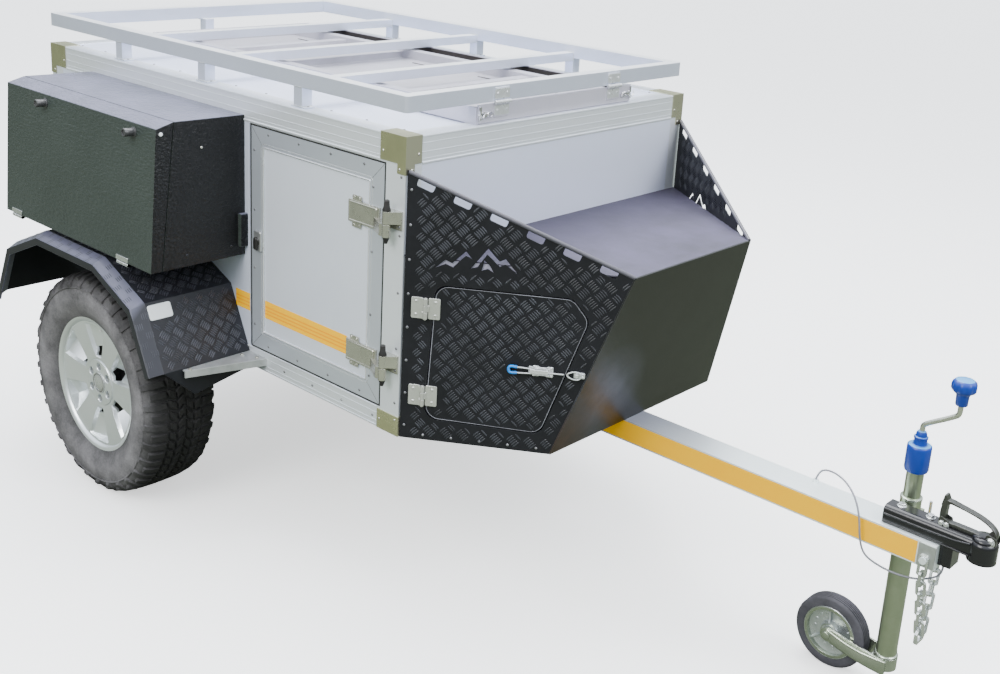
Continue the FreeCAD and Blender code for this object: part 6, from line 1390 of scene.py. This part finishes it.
# the lever in (out, along, up) about the catch's middle
wire_bends = smooth_line([(0.0062, -0.03, 0.0), (0.0105, -0.022, 0.008), (0.012, -0.006, 0.0065),
    (0.0075, 0.004, 0.0005), (0.0125, 0.014, -0.0075), (0.012, 0.024, -0.002), (0.007, 0.03, 0.007)], 5)
turn = np.linspace(0, 2 * np.pi, 21)[:-1]
wire_loop = np.stack([np.full(20, 0.0072), 0.0095 * np.cos(turn) - 0.022, 0.0068 * np.sin(turn)], axis=1)
catch_parts = []
for side in (-1, 1):
    middle = np.array([rack_fore, side * 0.338, 1.471])
    catch_parts += [raised(pad(0.016, 0.0085, 0.002, 4), 0.0018, 0.0005, 0.0022, middle, front_ways),
        copies(rivet, [middle + (0.002, side * 0.011, dz) for dz in (-0.0058, 0.0058)], front_ways),
        moved(eye, middle + (0.0062, -side * 0.002, 0)), tube(middle + wire_bends * (1, side, 1), 0.0019,
        (1.0, 0.02, 0.03), 8), tube(middle + wire_loop * (1, side, 1), 0.0017, (1.0, 0, 0), 8, ring=True),
        raised(pad(0.0032, 0.021, 0.0028, 4), 0.0048, 0.0006, 0.0055, (rack_fore, side * 0.3535, 1.476),
        front_ways)]
piece("flap_catches", joined(*catch_parts), chrome_wire, "table_flap", crease=35)


# Coupler: a black-painted steel pressing on the drawbar's end, held by two zinc bolts through its channel.
# Its lever is a bent strap with an upright post, on a pivot bolt at the front.
coupler_gloss = finish("coupler_gloss", (0.006, 0.006, 0.008), (0.009, 0.009, 0.012), (0.09, 0.09, 0.1),
    roughness=0.2, specular=0.45, coat=0.15, patch_size=12, edge_wear=0.5, edge_radius=0.003, dust_share=0.02)
paint(coupler_gloss, "coupler_body")
ridges = []
for side in (-1, 1):
    for z, radius, climb in ((0.5862, 0.003, 1), (0.564, 0.0026, 0)):
        line = [(x + axle_x, side * (0.0308 + flare * 0.4), z + flare * climb) for x, flare in ((2.447, 0.0),
            (2.56, 0.0), (2.64, 0.002), (2.682, 0.01))]
        ridges.append(tube(line, radius, (0, 0, 1.0), 10))
dome = turned(((0.0, 0.0), (0.033, 0.0), (0.0325, 0.003), (0.027, 0.008), (0.015, 0.0112), (0.0, 0.012)), 32,
    "z")
ridges.append(moved(dome, (2.704 + axle_x, 0, 0.607)))
piece("coupler_ridges", joined(*ridges), coupler_gloss, crease=50)


def strap_loop(line, half_thickness, half_width):
    """Flat strap bent round a closed line in (x, z): its faces stand off the line by half its thickness."""
    way = along_unit(np.roll(line, -1, axis=0) - np.roll(line, 1, axis=0))
    normal = np.stack([-way[:, 1], way[:, 0]], axis=1) * half_thickness[:, None]
    chamfer = min(half_width * 0.25, 0.0012)
    rows = [at_y(line + normal * share, y) for share, y in ((1, chamfer - half_width),
        (1, half_width - chamfer), (0.7, half_width), (-0.7, half_width), (-1, half_width - chamfer),
        (-1, chamfer - half_width), (-0.7, -half_width), (0.7, -half_width))]
    return np.concatenate(rows + rows[:1]), grid_faces(9, len(line), wrap=True)


# the lever's line, with the strap's half thickness at each corner
lever_corners = np.array([(2.6, 0.614, 0.005), (2.64, 0.6135, 0.0058), (2.69, 0.6125, 0.0058),
    (2.722, 0.613, 0.0048), (2.7325, 0.623, 0.0036), (2.729, 0.636, 0.003), (2.715, 0.649, 0.0026),
    (2.692, 0.659, 0.0026), (2.664, 0.6655, 0.0026), (2.633, 0.67, 0.0028), (2.608, 0.673, 0.004),
    (2.5965, 0.669, 0.0064), (2.593, 0.65, 0.0078), (2.5925, 0.63, 0.0078), (2.594, 0.618, 0.0064)]) + (
    axle_x, 0, 0)
line, heft = lever_corners[:, :2], lever_corners[:, 2]
lever_line = smooth_line(np.concatenate([line[-2:], line, line[:2]]), 4)[8:8 + 4 * len(line)]
lever_heft = np.interp(np.arange(len(lever_line)) / 4, np.arange(len(line) + 1), np.append(heft, heft[0]))
tip = plate_form(np.array([(2.585, 0.66), (2.605, 0.664), (2.601, 0.679), (2.5955, 0.6895), (2.5905, 0.689)])
    + (axle_x, 0), ((0, -0.01), (0, 0.01)), (0, 0, 0), right_ways)
rear_cheek = round_corners([(2.585, 0.5985), (2.616, 0.603), (2.612, 0.624), (2.587, 0.632)], 0.004, 4)
front_cheek = round_corners([(2.704, 0.5985), (2.738, 0.6), (2.739, 0.624), (2.712, 0.63)], 0.007, 5)
cheeks = [plate_form(cheek + (axle_x, 0), ((0, -0.0015), (0, 0.0015)), (0, side * 0.0132, 0), right_ways)
    for cheek in (rear_cheek, front_cheek) for side in (-1, 1)]
lever_black = finish("lever_black", (0.009, 0.01, 0.009), (0.022, 0.026, 0.02), (0.3, 0.32, 0.28),
    roughness=0.26, specular=0.6, coat=0.2, patch_size=20, patch_share=0.8, edge_wear=0.9, edge_radius=0.0012)
lever_form = joined(strap_loop(lever_line, lever_heft, 0.0105), tip, *cheeks)
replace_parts(piece("coupler_lever", lever_form, lever_black, crease=40), "coupler_handle")
bolt_zinc = finish("bolt_zinc", (0.74, 0.76, 0.77), (0.52, 0.54, 0.55), metallic=0.85, roughness=0.24,
    patch_size=40, edge_wear=0.4, edge_radius=0.0006)
hex_head = turned(((0.0, 0.0), (0.0098, 0.0), (0.0098, 0.0058), (0.0088, 0.0068), (0.0, 0.007)), 6, "z")
washer = turned(((0.0, 0.0), (0.013, 0.0), (0.013, 0.0014), (0.0122, 0.0018), (0.0, 0.0018)), 24, "z")
bolts = []
for x in (2.48, 2.56):
    bolts += [moved(washer, (x + axle_x, 0.002, 0.6078)), moved(hex_head, (x + axle_x, 0.002, 0.6094))]
for x, z, scale in ((2.5945, 0.612, 0.62), (2.6075, 0.6115, 0.62), (2.7235, 0.6105, 0.95)):
    for side, ways in ((-1, right_ways), (1, right_ways * (1, -1, 1))):
        bolts += [copies((form[0] * scale, form[1]), [(x + axle_x, side * 0.0146, z)], ways)
            for form in (washer, hex_head)]
piece("coupler_bolts", joined(*bolts), bolt_zinc, crease=25)


# Jockey wheel: a zinc-plated leg in a clamp, a pressed fork, a steel disc wheel with a grooved rubber tyre,
# and a crank with blue plastic housing and knob.
leg_zinc = finish("leg_zinc", (0.4, 0.45, 0.33), (0.3, 0.36, 0.24), (0.85, 0.86, 0.8), metallic=0.9,
    roughness=0.3, patch_size=7, patch_share=0.9, grain=(60, 60, 8), grain_depth=0.0001, edge_wear=0.4,
    edge_radius=0.0015, dust_share=0.08)
fork_zinc = finish("fork_zinc", (0.46, 0.5, 0.42), (0.34, 0.4, 0.3), (0.9, 0.92, 0.88), metallic=0.9,
    roughness=0.24, patch_size=9, patch_share=0.9, edge_wear=0.6, edge_radius=0.002)
chain_zinc = finish("chain_zinc", (0.74, 0.77, 0.76), (0.5, 0.53, 0.5), metallic=0.9, roughness=0.22,
    patch_size=40, patch_share=0.8)
paint(leg_zinc, "jockey_clamp", "jockey_leg")
paint(fork_zinc, "jockey_fork", "jockey_wheel")
paint(chain_zinc, "safety_chain")
leg_x, leg_y = 2.47 + axle_x, 0.082
wheel_x, wheel_z = 2.305 + axle_x, 0.108
leg_foot, wheel_hub = (leg_x, leg_y, 0), (wheel_x, leg_y, wheel_z)


def lobed(profile, steps, lobes):
    """Profile of (radius, height, ripple) turned about z; at each lobe the radius swells by the ripple."""
    p = np.asarray(profile, float)
    angle = np.arange(steps) * 2 * np.pi / steps
    radius = p[:, :1] * (1 + p[:, 2:] * np.cos(lobes * angle))
    points = np.stack([radius * np.cos(angle), radius * np.sin(angle), np.broadcast_to(p[:, 1:2],
        radius.shape)], -1)
    return points.reshape(-1, 3), grid_faces(len(p), steps, wrap=True)


housing = lobed(((0.0, 0.68, 0), (0.027, 0.68, 0), (0.03, 0.6815, 0.004), (0.0326, 0.688, 0.008),
    (0.0328, 0.748, 0.008), (0.0322, 0.7535, 0.004), (0.0296, 0.756, 0), (0.0205, 0.7565, 0),
    (0.018, 0.758, 0), (0.0172, 0.774, 0), (0.0186, 0.775, 0), (0.019, 0.779, 0), (0.0172, 0.7805, 0),
    (0.015, 0.7815, 0), (0.0142, 0.789, 0), (0.0115, 0.7945, 0), (0.007, 0.796, 0), (0.0, 0.796, 0)), 64, 8)
crank_knob = lobed(((0.0, 0.9, 0), (0.014, 0.9, 0), (0.0158, 0.902, 0), (0.0168, 0.927, 0),
    (0.019, 0.933, 0.01), (0.0275, 0.939, 0.03), (0.0312, 0.945, 0.045), (0.0316, 0.958, 0.045),
    (0.0295, 0.9655, 0.03), (0.024, 0.9705, 0.012), (0.012, 0.9719, 0), (0.0, 0.972, 0)), 72, 9)
grip_blue = finish("grip_blue", (0.001, 0.036, 0.31), (0.001, 0.027, 0.24), (0.02, 0.14, 0.6), roughness=0.3,
    specular=0.5, patch_size=14, edge_wear=0.3, edge_radius=0.0012, dust_share=0.03)
# painted sky reflection: the grips' upward faces are blended to pale blue
paint_light_facing(grip_blue, "Z", 0.8, 0.98, (0.1, 0.36, 0.68), 0.9)
grips = joined(moved(housing, leg_foot), moved(crank_knob, (leg_x + 0.09, leg_y, 0)))
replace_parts(piece("jockey_blue_grips", grips, grip_blue, "jockey_leg", crease=40),
    "jockey_grips")
crank_line = smooth_line([(0.0, 0.794), (0.0, 0.804), (0.0015, 0.812), (0.01, 0.82), (0.03, 0.833),
    (0.056, 0.849), (0.077, 0.863), (0.0868, 0.871), (0.0895, 0.88), (0.09, 0.892), (0.09, 0.904)], 4) + (
    leg_x, 0)
crank_zinc = finish("crank_zinc", (0.62, 0.64, 0.55), (0.48, 0.5, 0.42), metallic=0.9, roughness=0.26,
    patch_size=20)
crank_rod = tube(at_y(crank_line, leg_y), 0.007, (0, 1.0, 0), 16)
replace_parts(piece("jockey_crank_rod", crank_rod, crank_zinc, "jockey_leg", crease=50),
    "jockey_crank")
collar = turned(((0.028, 0.5985), (0.0296, 0.5985), (0.0296, 0.6035), (0.026, 0.606), (0.0228, 0.606),
    (0.0228, 0.5985)), 40, "z")
foot_collar = turned(((0.028, 0.113), (0.0315, 0.113), (0.033, 0.115), (0.0315, 0.118), (0.0284, 0.1195),
    (0.028, 0.1195)), 40, "z")
collars = moved(joined(collar, foot_collar), leg_foot)
piece("jockey_collars", collars, fork_zinc, "jockey_leg", crease=50)
bolt_place = np.array([leg_x, leg_y + 0.047, 0.523])
clamp_bolt = turned(((0.0, -0.03), (0.0055, -0.03), (0.0055, 0.03), (0.0, 0.03)), 12, "x")
clamp_handle = tube([(0.028, 0, 0), (0.034, 0, 0), (0.038, 0, 0.012), (0.038, 0, 0.062)], 0.0045,
    (0, 1.0, 0), 10)
clamp_screw = moved(joined(clamp_bolt, clamp_handle), bolt_place)
piece("clamp_screw", clamp_screw, bolt_zinc, crease=50)

# fork arms: pressed, thicker at the axle and the head, with a rolled upper edge
arm_t = np.linspace(0, 1, 14)
bulge = np.sin(np.pi * arm_t)
arms = []
for side in (-1, 1):
    line = np.stack([wheel_x + (leg_x + 0.016 - wheel_x) * arm_t, leg_y + side * (0.035 + 0.0035 * bulge),
        wheel_z - 0.002 + (0.0885 - wheel_z) * arm_t - 0.006 * bulge], axis=1)
    half_high = 0.019 + 0.0045 * arm_t - 0.003 * bulge
    half_thick = 0.0044 + 0.002 * bulge
    rod, rod_faces = tube(line, 1.0, (0, 0, 1.0), 20)
    section = rod.reshape(14, 20, 3) - line[:, None]
    section *= np.stack([half_thick, half_thick, half_high], axis=1)[:, None]
    arms.append(((section + line[:, None]).reshape(-1, 3), rod_faces))
    rolled_edge = line + np.stack([np.zeros(14), np.full(14, side * 0.003), half_high - 0.002], axis=1)
    arms.append(tube(rolled_edge, 0.0034, (0, 0, 1.0), 10))
    hub_nut = turned([(r, side * out) for r, out in ((0.0, 0.0), (0.02, 0.0), (0.0205, 0.004),
        (0.015, 0.0062), (0.0125, 0.0066), (0.0125, 0.013), (0.011, 0.0142), (0.0, 0.0145))], 24)
    arms.append(moved(hub_nut, (wheel_x, leg_y + side * 0.034, wheel_z)))
piece("jockey_fork_arms", joined(*arms), fork_zinc, "jockey_fork", crease=50)

# tyre with five grooves, and a dished disc with three pressed ribs and a row of round dimples each side
crown = [(0.0995, -0.0242), (0.1045, -0.0222), (0.1068, -0.0185)]
for y in np.linspace(-0.015, 0.015, 5):
    crown += [(0.1078, y - 0.0022), (0.104, y - 0.0012), (0.104, y + 0.0012), (0.1078, y + 0.0022)]
crown += [(0.1068, 0.0185), (0.1045, 0.0222), (0.0995, 0.0242), (0.088, 0.025), (0.08, 0.0246),
    (0.0792, 0.02), (0.0792, -0.02), (0.08, -0.0246), (0.088, -0.025), (0.0995, -0.0242)]
tyre_grey = finish("tyre_grey", (0.03, 0.029, 0.036), (0.09, 0.086, 0.105), (0.16, 0.155, 0.18),
    roughness=0.6, specular=0.4, patch_size=10, patch_share=1, dust_share=0.3, dust=(0.22, 0.21, 0.24),
    edge_wear=0.5, grain=(300, 300, 300), grain_depth=0.0002)
small_tyre = moved(turned(crown, 96), wheel_hub)
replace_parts(piece("jockey_ribbed_tyre", small_tyre, tyre_grey, "jockey_wheel", crease=40),
    "jockey_tyre")
disc_parts = []
for side in (-1, 1):
    disc_parts.append(turned([(r, side * y) for r, y in ((0.0782, 0.018), (0.0795, 0.0236), (0.0775, 0.0252),
        (0.0745, 0.024), (0.07, 0.012), (0.056, 0.007), (0.033, 0.0085), (0.027, 0.02), (0.023, 0.0258),
        (0.01, 0.0262), (0.0, 0.0262))], 64))
    dimple = turned([(r, side * y) for r, y in ((0.0, 0.0065), (0.0046, 0.007), (0.0036, 0.0092),
        (0.0, 0.0102))], 12)
    for degrees in (100, 220, 340):
        radial = [np.array([math.cos(a), 0, math.sin(a)]) for a in np.radians(degrees
            + np.array([0, 35, 60, 85]))]
        line = [radial[0] * r + (0, side * y, 0) for r, y in ((0.028, 0.019), (0.04, 0.013), (0.056, 0.0105),
            (0.07, 0.013))]
        disc_parts.append(tube(line, 0.0042, (0, 1.0, 0), 10))
        disc_parts += [moved(dimple, way * 0.052) for way in radial[1:]]
disc_zinc = finish("disc_zinc", (0.62, 0.66, 0.68), (0.46, 0.5, 0.5), (0.9, 0.92, 0.93), metallic=0.8,
    roughness=0.26, patch_size=16, patch_share=0.8, edge_wear=0.5, edge_radius=0.001)
piece("jockey_disc", moved(joined(*disc_parts), wheel_hub), disc_zinc, "jockey_wheel",
    crease=35)


# Tail: red lamp lenses on their bases, and a blank number plate in a thin frame with four screws.
lamp_red = finish("lamp_red", (0.42, 0.008, 0.008), (0.36, 0.006, 0.006), roughness=0.16, specular=0.6,
    coat=0.6, patch_size=20, edge_wear=0.1)
blank_plate = finish("blank_plate", (0.78, 0.78, 0.74), (0.72, 0.72, 0.68), roughness=0.3, patch_size=9)
paint(lamp_red, "tail_lamps")
paint(blank_plate, "number_plate")


def tail_frame(half_a, half_b, radius, place, rod):
    """Thin frame across the tail: a rod bent round a rounded rectangle about a place."""
    outline = pad(half_a, half_b, radius, 6)
    line = np.insert(outline, 0, 0.0, axis=1) + place
    return tube(line, rod, (1.0, 0, 0), 8, ring=True)


lamp_low, lamp_high = (np.array(corner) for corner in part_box("tail_lamps"))
plate_low, plate_high = (np.array(corner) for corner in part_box("number_plate"))
lamp_z = (lamp_low[2] + lamp_high[2]) / 2
ribs, seals = [], []
for y in (-0.53, 0.53):
    ribs += [raised(round_corners(box_round(a, 0, 0.0026, 0.0175), 0.002, 3), 0.0008, 0.0012, 0.0018,
        (lamp_low[0], y, lamp_z), rear_ways) for a in np.linspace(-0.045, 0.045, 13)]
    seals.append(tail_frame(0.0518, 0.0218, 0.006, (lamp_high[0] - 0.004, y, lamp_z), 0.0024))
piece("lamp_ribs", joined(*ribs), lamp_red, crease=40)
piece("lamp_seals", joined(*seals), seal_rubber, crease=60)
plate_y, plate_z = (plate_low[1] + plate_high[1]) / 2, (plate_low[2] + plate_high[2]) / 2
plate_edge = tail_frame(0.219, 0.057, 0.008, (plate_low[0] - 0.0002, plate_y, plate_z), 0.0016)
plate_screws = copies(screw, [(plate_low[0], plate_y + a, plate_z + b) for a in (-0.2, 0.2) for b in (-0.044,
    0.044)], rear_ways)
piece("number_plate_edge", joined(plate_edge, plate_screws), latch_silver, crease=60)
